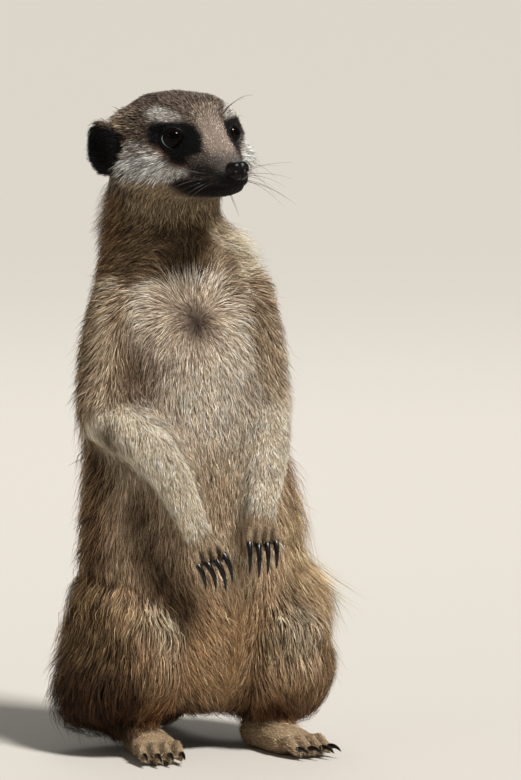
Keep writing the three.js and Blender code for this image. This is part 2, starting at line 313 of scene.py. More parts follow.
def in_head(points):
    """Points of the model in the head's own frame, in millimetres."""
    return (points - skull) @ head_axes / MM


def from_head(points):
    """The head's own millimetres back in the model."""
    return skull + (np.asarray(points) * MM) @ head_axes.T


print("skull's middle:", skull.round(4))

# %% [markdown]
# ## Skin
# A real animal has one skin, with no seam at neck or shoulder. The frame's solids meet at thin gaps, so
# copies of them are swelled by half a millimetre, filled with a voxel remesh into one surface, smoothed
# where they met, and drawn in by the coat's depth. The hair then stands in that depth.

# %% One surface over all the nodes of flesh
SWELL = 0.5 * MM
VOXEL = 0.95 * MM
NOT_FLESH = ("claw", "eye", "nose")
flesh = sorted(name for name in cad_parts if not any(word in name for word in NOT_FLESH))
fillers = ["eye_left", "eye_right", "nose"]


def merged(node):
    """A CAD node's points with its doubles merged, and its triangles."""
    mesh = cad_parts[node].data
    loose = points_of(mesh)
    index = np.empty(len(mesh.loops), np.int32)
    mesh.loops.foreach_get("vertex_index", index)
    _, first, back = np.unique(np.round(loose, 7), axis=0, return_index=True, return_inverse=True)
    return loose[first], back.ravel()[index].reshape(-1, 3)


def face_vectors(points, faces):
    """Each face's normal with its area as length: half the cross product of its two diagonals or edges."""
    last = faces[:, -1]
    return np.cross(points[faces[:, 1]] - points[last], points[faces[:, 2]] - points[faces[:, 0]]) / 2


def point_normals(points, faces):
    """The area-weighted mean of the faces' normals round each point."""
    vectors = face_vectors(points, faces)
    total = np.stack([sum(np.bincount(faces[:, k], vectors[:, axis], len(points))
                          for k in range(faces.shape[1])) for axis in range(3)], axis=1)
    return unit(total)


def swelled(node):
    """A merged node moved outwards along its normals."""
    points, faces = merged(node)
    return points + point_normals(points, faces) * SWELL, faces


solid_points, solid_faces = joined([swelled(node) for node in flesh + fillers])
draft, _ = start_material("draft")
form = new_object("form", solid_points, solid_faces, draft)
remesh = form.modifiers.new("voxels", "REMESH")
remesh.mode = "VOXEL"
remesh.voxel_size = VOXEL
evaluated = form.evaluated_get(bpy.context.evaluated_depsgraph_get())
remeshed = bpy.data.meshes.new_from_object(evaluated)
P = points_of(remeshed)
quads = np.empty(len(remeshed.loops), np.int32)
remeshed.loops.foreach_get("vertex_index", quads)
quads = quads.reshape(-1, 4)
bpy.data.objects.remove(form)
print("remeshed skin:", len(P), "points,", len(quads), "faces")

# %% Neighbours, and the outermost sheet only


def ways(faces):
    """All edges of quads, both ways round, as two arrays of point numbers without repeats."""
    ends = np.concatenate([faces, np.roll(faces, 1, axis=1)]).reshape(-1)
    starts = np.concatenate([np.roll(faces, 1, axis=1), faces]).reshape(-1)
    both = np.unique(starts.astype(np.int64) * (faces.max() + 1) + ends)
    return both // (faces.max() + 1), both % (faces.max() + 1)


def largest_sheet(points, faces):
    """Keeps the faces joined to the most points: labels spread along the edges until they settle."""
    starts, ends = ways(faces)
    label = np.arange(len(points))
    while True:
        spread = label.copy()
        np.minimum.at(spread, starts, label[ends])
        spread = spread[spread]
        if (spread == label).all():
            break
        label = spread
    keep = label == np.bincount(label).argmax()
    number = np.cumsum(keep) - 1
    return points[keep], number[faces[keep[faces[:, 0]]]]


P, quads = largest_sheet(P, quads)
edge_from, edge_to = ways(quads)
degree = np.bincount(edge_from, minlength=len(P))[:, None]
print("outer sheet:", len(P), "points")


def neighbour_mean(values):
    """The mean of each point's neighbours, for an N x k array."""
    return np.stack([np.bincount(edge_from, column[edge_to], len(P)) for column in values.T], axis=1) / degree


def relaxed(values, turns, share=1.0):
    """Moves values towards their neighbours' mean, turns times over, by a share that may differ by point."""
    for _ in range(turns):
        values = values + 0.5 * share * (neighbour_mean(values) - values)
    return values


# %% Which part of the body each point belongs to
parts = [merged(node) for node in flesh]
all_points, all_faces = joined(parts)
face_part = np.repeat(np.arange(len(flesh)), [len(faces) for _, faces in parts])
nearest = BVHTree.FromPolygons(all_points.tolist(), all_faces.tolist())
part = face_part[[nearest.find_nearest(point)[2] for point in P.tolist()]]
FAMILIES = ["head", "ear", "neck", "trunk", "upper_arm", "forearm", "hand", "thigh", "shank", "foot", "tail"]
family_of_node = np.array([next(i for i, f in enumerate(FAMILIES) if node.startswith(f)) for node in flesh])
family = family_of_node[part]


def is_in(*names):
    """Which points belong to these families."""
    return np.isin(family, [FAMILIES.index(name) for name in names])


side_of_node = np.array([-1 if "right" in node else 1 for node in flesh])
side = side_of_node[part][:, None].astype(float)
print({name: int(is_in(name).sum()) for name in FAMILIES})

# %% The coat on each part
LENGTH, WIDTH, DEPTH, DENSITY = range(4)  # of tufts and coat in millimetres, and tufts to a square millimetre
COAT = {
    "head": (3.0, 0.31, 1.0, 3.25),
    "ear": (3.0, 0.28, 0.55, 3.4),
    "neck": (7.0, 0.30, 3.4, 2.2),
    "trunk": (14, 0.36, 5.4, 1.04),
    "upper_arm": (10.5, 0.31, 3.2, 1.9),
    "forearm": (6.0, 0.27, 1.9, 2.9),
    "hand": (2.8, 0.26, 0.45, 3.0),
    "thigh": (13.5, 0.36, 4.6, 1.55),
    "shank": (12.5, 0.36, 4.2, 1.55),
    "foot": (3.0, 0.28, 0.45, 2.2),
    "tail": (9, 0.42, 2.6, 0.85),
}
coat = relaxed(np.array([COAT[name] for name in FAMILIES])[family], 40)
H = in_head(P)
muzzle = smoothstep(-12, -26, H[:, 1]) * is_in("head")
cheek = smoothstep(16, 24, np.abs(H[:, 0])) * smoothstep(-5, -12, H[:, 2]) * is_in("head")
nape = smoothstep(14, 26, H[:, 1]) * is_in("head")
coat[:, LENGTH] *= 1 - 0.6 * muzzle + 1.3 * cheek + 1.0 * nape
coat[:, WIDTH] *= 1 - 0.2 * muzzle + 0.2 * cheek
coat[:, DEPTH] *= 1 - 0.6 * muzzle + 0.4 * cheek
coat[:, DENSITY] *= 1 + 0.3 * muzzle - 0.35 * cheek - 0.2 * nape
sole = np.clip(1 - P[:, 2] / (2.5 * MM), 0, 1) * is_in("foot")
coat[:, DEPTH] *= 1 - sole
coat = relaxed(coat, 8)
print("coat depth in mm from", coat[:, DEPTH].min().round(2), "to", coat[:, DEPTH].max().round(2))

# %% Smoothing the joins, then drawing the skin in
firm = np.where(is_in("hand", "foot", "ear"), 0.25, np.where(is_in("head"), 0.5, 1.0))[:, None]
P = relaxed(P, 14, firm)
N = point_normals(P, quads)
broad = relaxed(is_in("trunk", "thigh", "shank", "neck").astype(float)[:, None], 12)
even = relaxed(P, 160, broad) - P
outward = dot(even, N)
P = P + even * broad * np.where(outward > 0, 1.0, 0.55)  # creases fill, and bulges settle a little
N = point_normals(P, quads)
calm_N = unit(relaxed(N, 20, firm))
P = P - calm_N * (coat[:, [DEPTH]] * MM + SWELL)
P = relaxed(P, 10, firm)
P[:, 2] = np.maximum(P[:, 2], 0)
print("skin box in mm:", (P.min(0) / MM).round(1), (P.max(0) / MM).round(1))

# %% [markdown]
# ## The face
# The lids, the mouth and the nose's edge are folds in the skin. Round each eye the skin is drawn onto a
# sphere just above the eyeball: inside the opening it drops behind the ball, outside it stays on it as lid,
# and further out it runs back into the cheek. A groove marks where the closed lips meet.

# %% Lids
LID_HALF_WIDTH = math.radians(64)
LID_HALF_HEIGHT = math.radians(51)
GAZE_LOCAL = unit(np.array([0.60, -0.80, 0.03]))  # of the left eye


def eye_frame(which):
    """The eye's centre, gaze, and the directions towards the nose and up, in the head's frame. The left eye
    is +1 and the right -1."""
    mirror = np.array([which, 1, 1])
    gaze = GAZE_LOCAL * mirror
    up = unit(UP - gaze * gaze[2])
    return EYE_LOCAL * mirror, gaze, np.cross(up, gaze) * -which, up


def lid_measure(local, which):
    """How far out a direction lies from the eye's middle, where 1 is the lid's edge: the ellipse's
    sqrt((across / half width)^2 + (up / half height)^2) of the two angles from the gaze."""
    centre, gaze, inwards, up = eye_frame(which)
    out = local - centre
    ahead = out @ gaze
    measure = np.hypot(np.arctan2(out @ inwards, ahead) / LID_HALF_WIDTH,
                       np.arctan2(out @ up, ahead) / LID_HALF_HEIGHT)
    return measure, np.linalg.norm(out, axis=1)


H = in_head(P)
LID_RADIUS = EYE_RADIUS + 0.55
BEHIND_BALL = 2.2
bare = np.zeros(len(P))
for which in (-1, 1):
    measure, reach = lid_measure(H, which)
    near = is_in("head") & (reach < 17) & (measure < 3)
    bare = np.maximum(bare, smoothstep(1.4, 1.2, measure) * smoothstep(9.5, 8, reach))
    on_ball = np.where(measure < 1, LID_RADIUS - BEHIND_BALL * smoothstep(1.02, 0.8, measure), LID_RADIUS)
    drawn = smoothstep(2.3, 1.45, measure) * smoothstep(14, 8.5, reach)
    wanted = on_ball * drawn + reach * (1 - drawn)
    centre = eye_frame(which)[0]
    moved = centre + (H - centre) * (wanted / np.maximum(reach, 1e-6))[:, None]
    H = np.where(near[:, None], moved, H)
    H = relaxed(H, 6, (near * smoothstep(1.25, 1.5, measure))[:, None])
print("bare points round the eyes:", int((bare > 0.5).sum()))

# %% The closed mouth, and where the skin is bare
LIP_LINE = np.array([[0, -43.5, -21.0], [4.5, -41, -21.8], [8, -34, -22.6], [9.2, -27, -23.2],
                     [11.5, -21.5, -22.4], [14, -18, -21]])


def line_distance(points, line):
    """The distance from each point to a line of straight stretches, and how far along it, 0 to 1."""
    a, b = line[:-1], line[1:]
    along = np.clip(((points[:, None] - a) * (b - a)).sum(-1) / ((b - a) ** 2).sum(-1), 0, 1)
    gaps = np.linalg.norm(points[:, None] - a - along[..., None] * (b - a), axis=-1)
    best = gaps.argmin(1)
    return gaps.min(1), (best + along[np.arange(len(points)), best]) / len(a)


mirrored = H * np.where(H[:, :1] < 0, [-1, 1, 1], [1, 1, 1])
LIP_GROOVE = 0.8  # its depth; its half width is 1.1
lip_gap, lip_along = line_distance(mirrored, LIP_LINE)
groove = np.exp(-(lip_gap / 1.1) ** 2) * smoothstep(1.0, 0.75, lip_along) * is_in("head")
face_N = point_normals(P, quads)
P = np.where(is_in("head")[:, None], from_head(H), P) - face_N * (LIP_GROOVE * MM * groove)[:, None]
N = point_normals(P, quads)
nose_gap = np.linalg.norm((H - NOSE_LOCAL) / NOSE_HALF, axis=1)
bare = np.maximum(bare, smoothstep(1.18, 1.05, nose_gap))
bare = np.maximum(bare, smoothstep(0.6, 0.8, -N[:, 2]) * smoothstep(3, 1.5, P[:, 2] / MM) * is_in("foot"))
coat[:, DENSITY] *= 1 - bare
coat[:, LENGTH] *= 1 - 0.55 * relaxed(bare[:, None], 3)[:, 0]
print("bare points:", int((bare > 0.5).sum()))

# %% [markdown]
# ## Fingers and toes
# Four digits show on each paw, with a dark gap between neighbours. The claws say where they are: a line runs
# back from each claw's root, the skin swells a little along it, and is pressed in between two lines.

# %% Digits
PAWS = ("hand_right", "hand_left", "foot_right", "foot_left")
DIGIT_LENGTH = {"hand": 8.5, "foot": 11.5}
GAP_DEPTH, GAP_WIDTH = 1.7, 0.85
KNUCKLE_WIDTH = 1.5
between_digits = np.zeros(len(P))
near_claw = np.zeros(len(P))
paw_forward = np.zeros_like(P)


def claw_nodes(paw):
    """The names of a paw's four claws."""
    return [f"{paw}_claw_{k}" for k in (1, 2, 3, 4)]


for paw in PAWS:
    kind, mine = paw[:4], part == flesh.index(paw)
    dorsal = UP if kind == "foot" else np.array([0, -1.0, 0])
    claw_points = [merged(node)[0] for node in claw_nodes(paw)]
    from_paw = [np.linalg.norm(points - middle(paw), axis=1) for points in claw_points]
    roots = np.stack([points[gap.argsort()[:5]].mean(0) for points, gap in zip(claw_points, from_paw)])
    tips = np.stack([points[gap.argmax()] for points, gap in zip(claw_points, from_paw)])
    roots = roots[roots[:, 0].argsort()]
    forward = unit((tips.mean(0) - roots.mean(0)) * (1 - np.abs(dorsal)))
    paw_forward[mine] = forward

    def to_lines(starts):
        """Millimetres from the paw's points to lines run back from some starts, seen along the back of the
        paw, and how far back they are."""
        off = (P[mine][:, None] - starts) / MM
        back = -(off @ forward)
        across = off + back[..., None] * forward
        across = across - (across @ dorsal)[..., None] * dorsal
        gaps = np.linalg.norm(across, axis=-1)
        best = gaps.argmin(1)
        return gaps.min(1), back[np.arange(len(gaps)), best]

    reach = DIGIT_LENGTH[kind]
    shown = smoothstep(-0.4, 0.1, N[mine] @ dorsal)
    gap, back = to_lines((roots[1:] + roots[:-1]) / 2)
    cleft = np.exp(-(gap / GAP_WIDTH) ** 2) * smoothstep(reach, reach - 5, back) * shown
    gap, back = to_lines(roots)
    knuckle = 0.5 + 0.5 * np.cos(np.clip((back - 0.55 * reach) / 2.5, -np.pi, np.pi))
    swell = np.exp(-(gap / KNUCKLE_WIDTH) ** 2) * smoothstep(reach, reach - 5, back) * shown
    swell = swell * (0.35 + 0.4 * knuckle)
    P[mine] += N[mine] * ((swell - GAP_DEPTH * cleft) * MM)[:, None]
    between_digits[mine] = cleft
    near_claw[mine] = np.exp(-(gap / KNUCKLE_WIDTH) ** 2) * smoothstep(4, 0.5, back)
print("points between digits:", int((between_digits > 0.5).sum()))

# %% [markdown]
# ## Where flesh settles
# A sitting animal's lower legs spread under its weight, and its crown and shoulders are fuller than plain
# solids. Both are small soft pushes of the finished skin, cheaper than reshaping the solids under it.

# %% Haunches settle outwards
# Seated weight spreads the lower leg: each row is a height in millimetres and the shift sideways there.
SETTLE = {-1: ([0, 10, 20, 30, 45, 60, 75, 100], [2, 4, 4, 1.8, 0, -2.6, -2.6, 0]),
          1: ([8, 20, 34, 48, 70, 95], [0, 1.4, 3.6, 3.0, 1.0, 0])}
for which, (heights, shifts) in SETTLE.items():
    lateral = smoothstep(0.0, 0.7, which * N[:, 0]) * is_in("thigh", "shank") * (side[:, 0] == which)
    lateral = relaxed(lateral[:, None], 10)[:, 0]
    P[:, 0] += which * lateral * np.interp(P[:, 2] / MM, heights, shifts) * MM
    print("haunch spreads by up to", max(shifts), "mm")

# %% Crown and shoulder fill out
# Soft pushes along the skin's normal: a place in millimetres, a radius and a depth.
FULLER = (((-44, -40, 277), 15, 2.0), ((-53, -42, 268), 7, 1.8), ((-4, -52, 277), 9, 1.4),
          ((8, -50, 216), 11, 3.2), ((-56, -26, 138), 12, 2.0))
N = point_normals(P, quads)
for place, radius, depth in FULLER:
    gap = np.linalg.norm(P / MM - place, axis=1)[:, None]
    P = P + N * np.exp(-(gap / radius) ** 2) * depth * MM
N = point_normals(P, quads)
print("places filled out:", len(FULLER))

# %% [markdown]
# ## The lie of the coat
# Hair leans one way on every part: back from the nose over the skull, down the trunk, along the arms to the
# wrists, down round the haunches and along the tail. On the chest it spreads from a dark whorl. Each part
# gets a direction by formula, and a few turns of averaging along the skin carry one into the next.

# %% Where each point is on the body


def on_skin(place):
    """The skin's nearest point to a place given in millimetres of the model."""
    return P[np.linalg.norm(P - np.array(place) * MM, axis=1).argmin()]


WHORL = on_skin((-22.4, -68.4, 183.4))
CROTCH_X = -12 * MM
# Round the trunk's middle line: 0 is the chest and 90 the left flank. The chest looks 4 degrees to the right.
azimuth = np.degrees(np.arctan2(P[:, 0] + 20.5 * MM, -(P[:, 1] + 41 * MM)))
from_chest = np.abs(azimuth + 4)
height = P[:, 2] / MM
whorl_gap = np.linalg.norm(P - WHORL, axis=1) / MM
on_body = is_in("trunk", "neck")
flank = smoothstep(52, 85, from_chest) * is_in("trunk", "thigh", "shank")
print("whorl at", (WHORL / MM).round(1))

# %% Directions on the head
# Backwards, and down behind the cheeks and at the nape.
lean = np.zeros_like(P)
local = in_head(P)
down = 0.25 + 0.5 * smoothstep(-8, -16, local[:, 2]) + 0.9 * smoothstep(14, 30, local[:, 1])
spread = 0.25 * np.sign(local[:, 0]) * smoothstep(0, 8, np.abs(local[:, 0]))
back = np.stack([spread, np.ones(len(P)), -down], axis=1) @ head_axes.T
lean[is_in("head")] = back[is_in("head")]
ears = np.stack([0.35 * np.sign(local[:, 0]), np.full(len(P), 0.9), np.full(len(P), -0.35)], axis=1)
lean[is_in("ear")] = (ears @ head_axes.T)[is_in("ear")]
print("leaning on head and ears:", int(is_in("head", "ear").sum()), "points")

# %% Directions on neck and trunk
# Down, outwards at the flanks, away from the whorl, and in towards the crotch line.
outward = np.concatenate([np.sign(P[:, :1] - WHORL[0]), np.zeros((len(P), 2))], axis=1)
fall = -UP + 0.15 * (N * [1, 1, 0]) + flank[:, None] * (0.35 * outward + [0, 0.3, 0])
from_whorl = (P - WHORL) / MM
gap = np.linalg.norm(from_whorl, axis=1, keepdims=True)
above = from_whorl[:, 2:3]
front = smoothstep(0.1, 0.5, -N[:, 1:2])
ring = front * np.exp(-(gap / 20) ** 2)
rising = smoothstep(-2, 9, above) * front * smoothstep(44, 24, gap)
to_shoulder = (smoothstep(5, 24, np.abs(from_whorl[:, :1])) * smoothstep(-22, 4, above)
               * smoothstep(52, 34, above) * smoothstep(-0.5, 0.1, -N[:, 1:2]))
stream = fall * (1 - rising) * (1 - 0.8 * to_shoulder) * smoothstep(0, 14, gap)
stream = stream + unit(from_whorl) * (1.7 * ring + 0.9 * rising) + to_shoulder * (outward - 0.4 * UP)
low = front * smoothstep(90, 60, height[:, None])
inward = np.concatenate([np.sign(CROTCH_X - P[:, :1]), np.zeros((len(P), 2))], axis=1)
stream = stream + 0.55 * low * inward * smoothstep(0, 6 * MM, np.abs(P[:, :1] - CROTCH_X))
lean[on_body] = stream[on_body]
print("leaning on neck and trunk:", int(on_body.sum()), "points")

# %% Directions on the limbs
# Outwards over the shoulder and down to the wrist; from the hip down round the haunch; along hands and feet.
fallen = (0.3 + 0.7 * smoothstep(200, 165, height))[:, None]
shoulder = -UP * fallen + side * [0.75, 0, 0] * (1.2 - fallen) + np.array([0, 0.5, 0])
lean[is_in("upper_arm")] = shoulder[is_in("upper_arm")]
for label, which in SIDES:
    here = side[:, 0] == which
    wrist, elbow = middle(f"hand_{label}"), middle(f"upper_arm_{label}") - [0, 0, 28 * MM]
    fore = is_in("forearm") & here
    lean[fore] = unit(wrist - elbow) * 0.75 + np.array([which * 0.25, 0.2, -0.55])
    hip = middle(f"thigh_{label}") * [1, 1, 0] + np.array([0, 12, 78]) * MM
    hind = is_in("thigh", "shank") & here
    lean[hind] = unit(P[hind] - hip) * 0.55 - UP * 0.9 + np.array([which * 0.2, 0.1, 0])
lean[is_in("hand", "foot")] = (paw_forward - 0.1 * UP)[is_in("hand", "foot")]
print("hips at", (middle("thigh_right")[:2] / MM).round(), "and", (middle("thigh_left")[:2] / MM).round())

# %% Directions on the tail
# Hair points along the nearest stretches of a line through the tail, each weighted by how near it is.
TAIL_END = np.array([[62, 104, 0], [78, 80, 0]]) * MM
spine = np.stack([middle("trunk"), middle("tail_base"), middle("tail_middle"), *TAIL_END]) * [1, 1, 0]
on_tail = is_in("tail")
gaps = np.linalg.norm((P[on_tail] * [1, 1, 0])[:, None] - (spine[:-1] + spine[1:]) / 2, axis=-1)
weight = np.exp(-(gaps / (26 * MM)) ** 2) + 1e-6
lean[on_tail] = unit(weight @ unit(spine[1:] - spine[:-1]))
print("leaning on the tail:", int(on_tail.sum()), "points")

# %% Carried from part to part


def tangent(v):
    """Vectors laid into the skin's surface."""
    return unit(v - N * dot(v, N))


lie = tangent(lean)
for _ in range(14):
    lie = tangent(lie + neighbour_mean(lie))
print("lie worked out for", len(lie), "points")

# %% How the skin curves along the lie
# From each point a walk downstream over the edges gives the skin's bend: bend = 2 (drop along the normal) /
# (distance along the lie)^2. A tuft follows it, so that long hair hugs the haunch.
WALK = 7
LEAST_TRAVEL = 3 * MM
MOST_HOLLOW, MOST_ROUND, MOST_TURN = 22, 90, 60  # per metre, so that a hair never folds
edge = P[edge_to] - P[edge_from]
score = (edge * lie[edge_from]).sum(1) / np.linalg.norm(edge, axis=1)
order = np.lexsort((score, edge_from))
best = edge_to[order][np.cumsum(degree[:, 0]) - 1]
arrive = np.arange(len(P))
for _ in range(WALK):
    arrive = best[arrive]
travel = P[arrive] - P
ahead = np.maximum(dot(travel, lie), LEAST_TRAVEL)
bend = np.clip(2 * dot(travel, N) / ahead ** 2, -MOST_ROUND, MOST_HOLLOW)
turn = (lie[arrive] - lie) / ahead
turn = np.clip(turn - N * dot(turn, N), -MOST_TURN, MOST_TURN)
bend = relaxed(bend, 12)
turn = relaxed(turn, 12)
print("bend per metre from", bend.min().round(1), "to", bend.max().round(1))

# %% Where the coat is longer, shorter or stands out
# A fifth column says how far hairs stand away: 1 lies as deep as the coat, and more stands proud of it.
front_share = smoothstep(75, 45, from_chest) * is_in("trunk")
coat[:, LENGTH] *= 1 - 0.25 * front_share
coat[:, WIDTH] *= 1 - 0.15 * front_share
coat[:, DENSITY] *= 1 + 1.0 * front_share
coat[:, LENGTH] *= 1 + 0.5 * near_claw
coat[:, DENSITY] *= 1 - 0.7 * between_digits
coat[:, LENGTH] *= 1 - 0.6 * smoothstep(20, 3, whorl_gap) * on_body
stand = (1 + 0.45 * flank * is_in("trunk") + 0.2 * is_in("neck") + 0.2 * is_in("upper_arm")
         - 0.25 * front_share)
stand = stand + 0.5 * smoothstep(30, 15, height) * is_in("shank")
stand = stand - 0.45 * smoothstep(16, 4, whorl_gap) * on_body
stand = stand + 1.6 * cheek * smoothstep(-14, -4, H[:, 1]) + 1.4 * is_in("ear")
before_ear = (is_in("head") * smoothstep(19, 23, np.abs(H[:, 0])) * smoothstep(0, 6, H[:, 1])
              * smoothstep(-1, 3, H[:, 2]) * smoothstep(13, 9, H[:, 2]))
coat[:, LENGTH] *= 1 + 1.5 * before_ear
stand = stand + 4.5 * before_ear
ear_top = is_in("ear") * smoothstep(0, 5, H[:, 2])
coat[:, LENGTH] *= 1 + 1.0 * ear_top
stand = stand + 1.5 * ear_top
fluff = is_in("head") * np.exp(-((np.abs(H[:, 0]) - 20) / 3.5) ** 2 - ((H[:, 1] + 9) / 6) ** 2
                               - ((H[:, 2] + 10) / 5) ** 2) * np.where(H[:, 0] > 0, 1, 0.2)
fluff = fluff * smoothstep(-5.5, -8, H[:, 2])
coat[:, LENGTH] *= 1 + 1.8 * fluff
coat[:, DENSITY] *= 1 + 3.5 * fluff
stand = stand + 4.5 * fluff
throat_share = is_in("neck") * smoothstep(95, 60, from_chest) * smoothstep(212, 228, height)
coat[:, LENGTH] *= 1 - 0.35 * throat_share
print("hair in mm from", coat[:, LENGTH].min().round(1), "to", coat[:, LENGTH].max().round(1))

# %% Loose outer hair
# A sixth column is the share of strays, which are longer and stand out further. They show at the left flank
# and shoulder, the right elbow, the rump and the nape.
left_flank = (smoothstep(45, 75, azimuth) * smoothstep(150, 115, azimuth) * smoothstep(45, 60, height)
              * smoothstep(140, 105, height) * is_in("trunk", "thigh"))
left_shoulder = (smoothstep(35, 70, azimuth) * smoothstep(200, 211, height) * smoothstep(232, 218, height)
                 * is_in("neck", "trunk", "upper_arm"))
right_rump = (smoothstep(-70, -95, azimuth) * smoothstep(-155, -130, azimuth) * smoothstep(8, 20, height)
              * smoothstep(85, 60, height) * is_in("trunk", "thigh", "shank"))
right_nape = is_in("neck") * smoothstep(-60, -95, azimuth) * smoothstep(212, 225, height)
right_elbow = is_in("upper_arm") * (side[:, 0] < 0)
right_elbow = right_elbow * smoothstep(118, 128, height) * smoothstep(152, 140, height)
coarse = is_in("neck", "trunk", "upper_arm", "thigh", "shank")
coat[:, LENGTH] *= 1 + 0.85 * left_flank + 0.5 * left_shoulder + 0.3 * right_elbow + 0.25 * right_rump
stand = (stand + 0.35 * left_flank + 1.3 * left_shoulder + 0.8 * right_elbow + 0.9 * right_nape
         + 0.9 * right_rump)
strays = (0.08 + 0.2 * left_flank + 0.3 * left_shoulder + 0.15 * right_nape + 0.2 * right_rump
          + 0.05 * coarse)
coat = np.concatenate([coat, relaxed(stand[:, None], 8), relaxed(strays[:, None], 8)], axis=1)
print("strays among the hairs:", strays.mean().round(3))

# %% [markdown]
# ## Markings
# A meerkat's colours are the same on skin and coat. Each marking is a soft-edged mask over the body, and
# gives three colours of a hair: at its root, along its shaft and at its tip. Later marks lie over earlier.
# Some marks also hold painted shade, and the knees a painted highlight.

# %% The masks


def outline(u, v, corners, soft):
    """1 inside a closed outline drawn in two coordinates, and 0 outside, with an edge twice soft wide: the
    distance to the nearest stretch, made negative inside, through a smooth step. A point is inside when a
    level line from it crosses the outline an odd number of times."""
    a = np.array(corners, float)
    b = np.roll(a, -1, axis=0)
    gap, _ = line_distance(np.stack([u, v], axis=1), np.vstack([a, a[:1]]))
    slope = (b[:, 0] - a[:, 0]) / (b[:, 1] - a[:, 1] + 1e-9)
    crossed = ((a[:, 1] > v[:, None]) != (b[:, 1] > v[:, None])) & (
        u[:, None] < a[:, 0] + slope * (v[:, None] - a[:, 1]))
    inside = crossed.sum(1) % 2 == 1
    return smoothstep(soft, -soft, np.where(inside, -gap, gap))


def ripple(points, size):
    """A smooth uneven field from -1 to 1, with humps about size millimetres apart: a sum of three waves."""
    k = 2 * np.pi / (size * MM)
    x, y, z = points.T
    return (np.sin(k * (x + 0.6 * z) + 1.3) + np.sin(k * (0.8 * y - 0.7 * z) + 4.1)
            + np.sin(k * (0.5 * x - 0.4 * y + 0.9 * z) + 2.2)) / 3


marks = []


def mark(mask, root, shaft, tip, pale=0.0, dark=0.0):
    """Notes a mark: its mask, three hex colours, and the shares of stray pale and dark hairs in it."""
    marks.append((np.clip(mask, 0, 1), linear(root), linear(shaft), linear(tip), pale, dark))


def spot(place, size):
    """A soft round spot about a place in millimetres, a little longer up and down than across."""
    gap = np.linalg.norm((P - on_skin(place)) * [1, 1, 0.7], axis=1) / MM
    return np.exp(-(gap / size) ** 2) * is_in("trunk", "neck", "upper_arm", "forearm")


def zone(*names):
    """Some parts of the body, with soft edges."""
    return relaxed(is_in(*names).astype(float)[:, None], 14)[:, 0]


# %% Marks of trunk and neck
wobble = ripple(P, 38)
fleck = ripple(P, 9)
mark(np.ones(len(P)), "#1f1610", "#654a34", "#b18c64", 0.32, 0.30)
bars = is_in("trunk") * smoothstep(100, 130, np.abs(azimuth)) * smoothstep(
    0.1, 0.6, np.sin(height / 11 * 2 * np.pi + 0.6 * wobble))
mark(0.75 * bars * smoothstep(190, 160, height), "#15100c", "#3a2c22", "#57432f", 0.15, 0.4)
belly = smoothstep(72, 50, from_chest + 6 * wobble) * is_in("trunk")
mark(belly, "#8a6d50", "#d3b391", "#ecd3b5", 0.32, 0.10)
chest = belly * smoothstep(105, 160, height + 6 * wobble)
mark(chest, "#ac9378", "#e8d5bc", "#f9ebd8", 0.3, 0.06)
mark(belly * smoothstep(95, 60, height) * 0.8, "#664830", "#b58c64", "#d2ad82", 0.3, 0.10)
# The throat's tan hair is darkened as the head's painted shadow; just under the jaw it is lighter cream.
throat_with_painted_shadow = zone("neck") * smoothstep(95, 60, from_chest)
mark(throat_with_painted_shadow, "#3d2e20", "#6b563f", "#8a7254", 0.15, 0.14)
mark(throat_with_painted_shadow * smoothstep(222, 234, height), "#5f4d39", "#927b5e", "#b19a78", 0.2, 0.08)
pale_side = smoothstep(12, 35, azimuth) * smoothstep(125, 95, azimuth) * smoothstep(230, 216, height)
pale_side = is_in("neck", "trunk", "upper_arm") * pale_side * smoothstep(186, 200, height)
mark(pale_side, "#9a8266", "#dcc8a6", "#efe0c6", 0.3, 0.05)
print("marks so far:", len(marks))

# %% Marks of the arms
outer_arm = smoothstep(-0.2, 0.45, side[:, 0] * N[:, 0] * 0.75 + N[:, 1])
upper = zone("upper_arm")
mark(upper, "#6d5742", "#b59c80", "#dcc7aa", 0.35, 0.16)
mark(upper * outer_arm, "#170f0a", "#4a3626", "#a88862", 0.36, 0.36)
lower = zone("forearm")
mark(lower, "#ab9377", "#e8d6bb", "#faedd6", 0.35, 0.06)
mark(lower * smoothstep(0.0, 0.8, N[:, 1] - 0.3 * N[:, 2]), "#4c3624", "#957049", "#bd9a6e", 0.2, 0.15)
mark(zone("hand"), "#7d6850", "#baa285", "#d2bd9c", 0.15, 0.08)
mark(0.5 * near_claw * is_in("hand"), "#30251b", "#64523f", "#857057", 0, 0.1)
print("marks so far:", len(marks))

# %% Marks of haunches, feet and tail
# Pale hair on each knee, with a painted highlight on it.
KNEE_HIGHLIGHTS = (((-41, -79, 63), 11), ((14, -87, 57), 12))  # places and sizes
haunch = zone("thigh", "shank")
mark(haunch, "#50392a", "#a98562", "#d8b78f", 0.35, 0.16)
knee_highlights = sum(np.exp(-(np.linalg.norm((P / MM - place) * [1, 0.5, 0.9], axis=1) / size) ** 2)
            for place, size in KNEE_HIGHLIGHTS)
mark(haunch * knee_highlights * 0.8, "#5a4a3b", "#b3a085", "#dccdb2", 0.4, 0.14)
hind_side = smoothstep(0.2, 0.8, side[:, 0] * N[:, 0] + 0.6 * N[:, 1])
mark(haunch * hind_side, "#1d130d", "#5d442d", "#bb9a70", 0.36, 0.34)
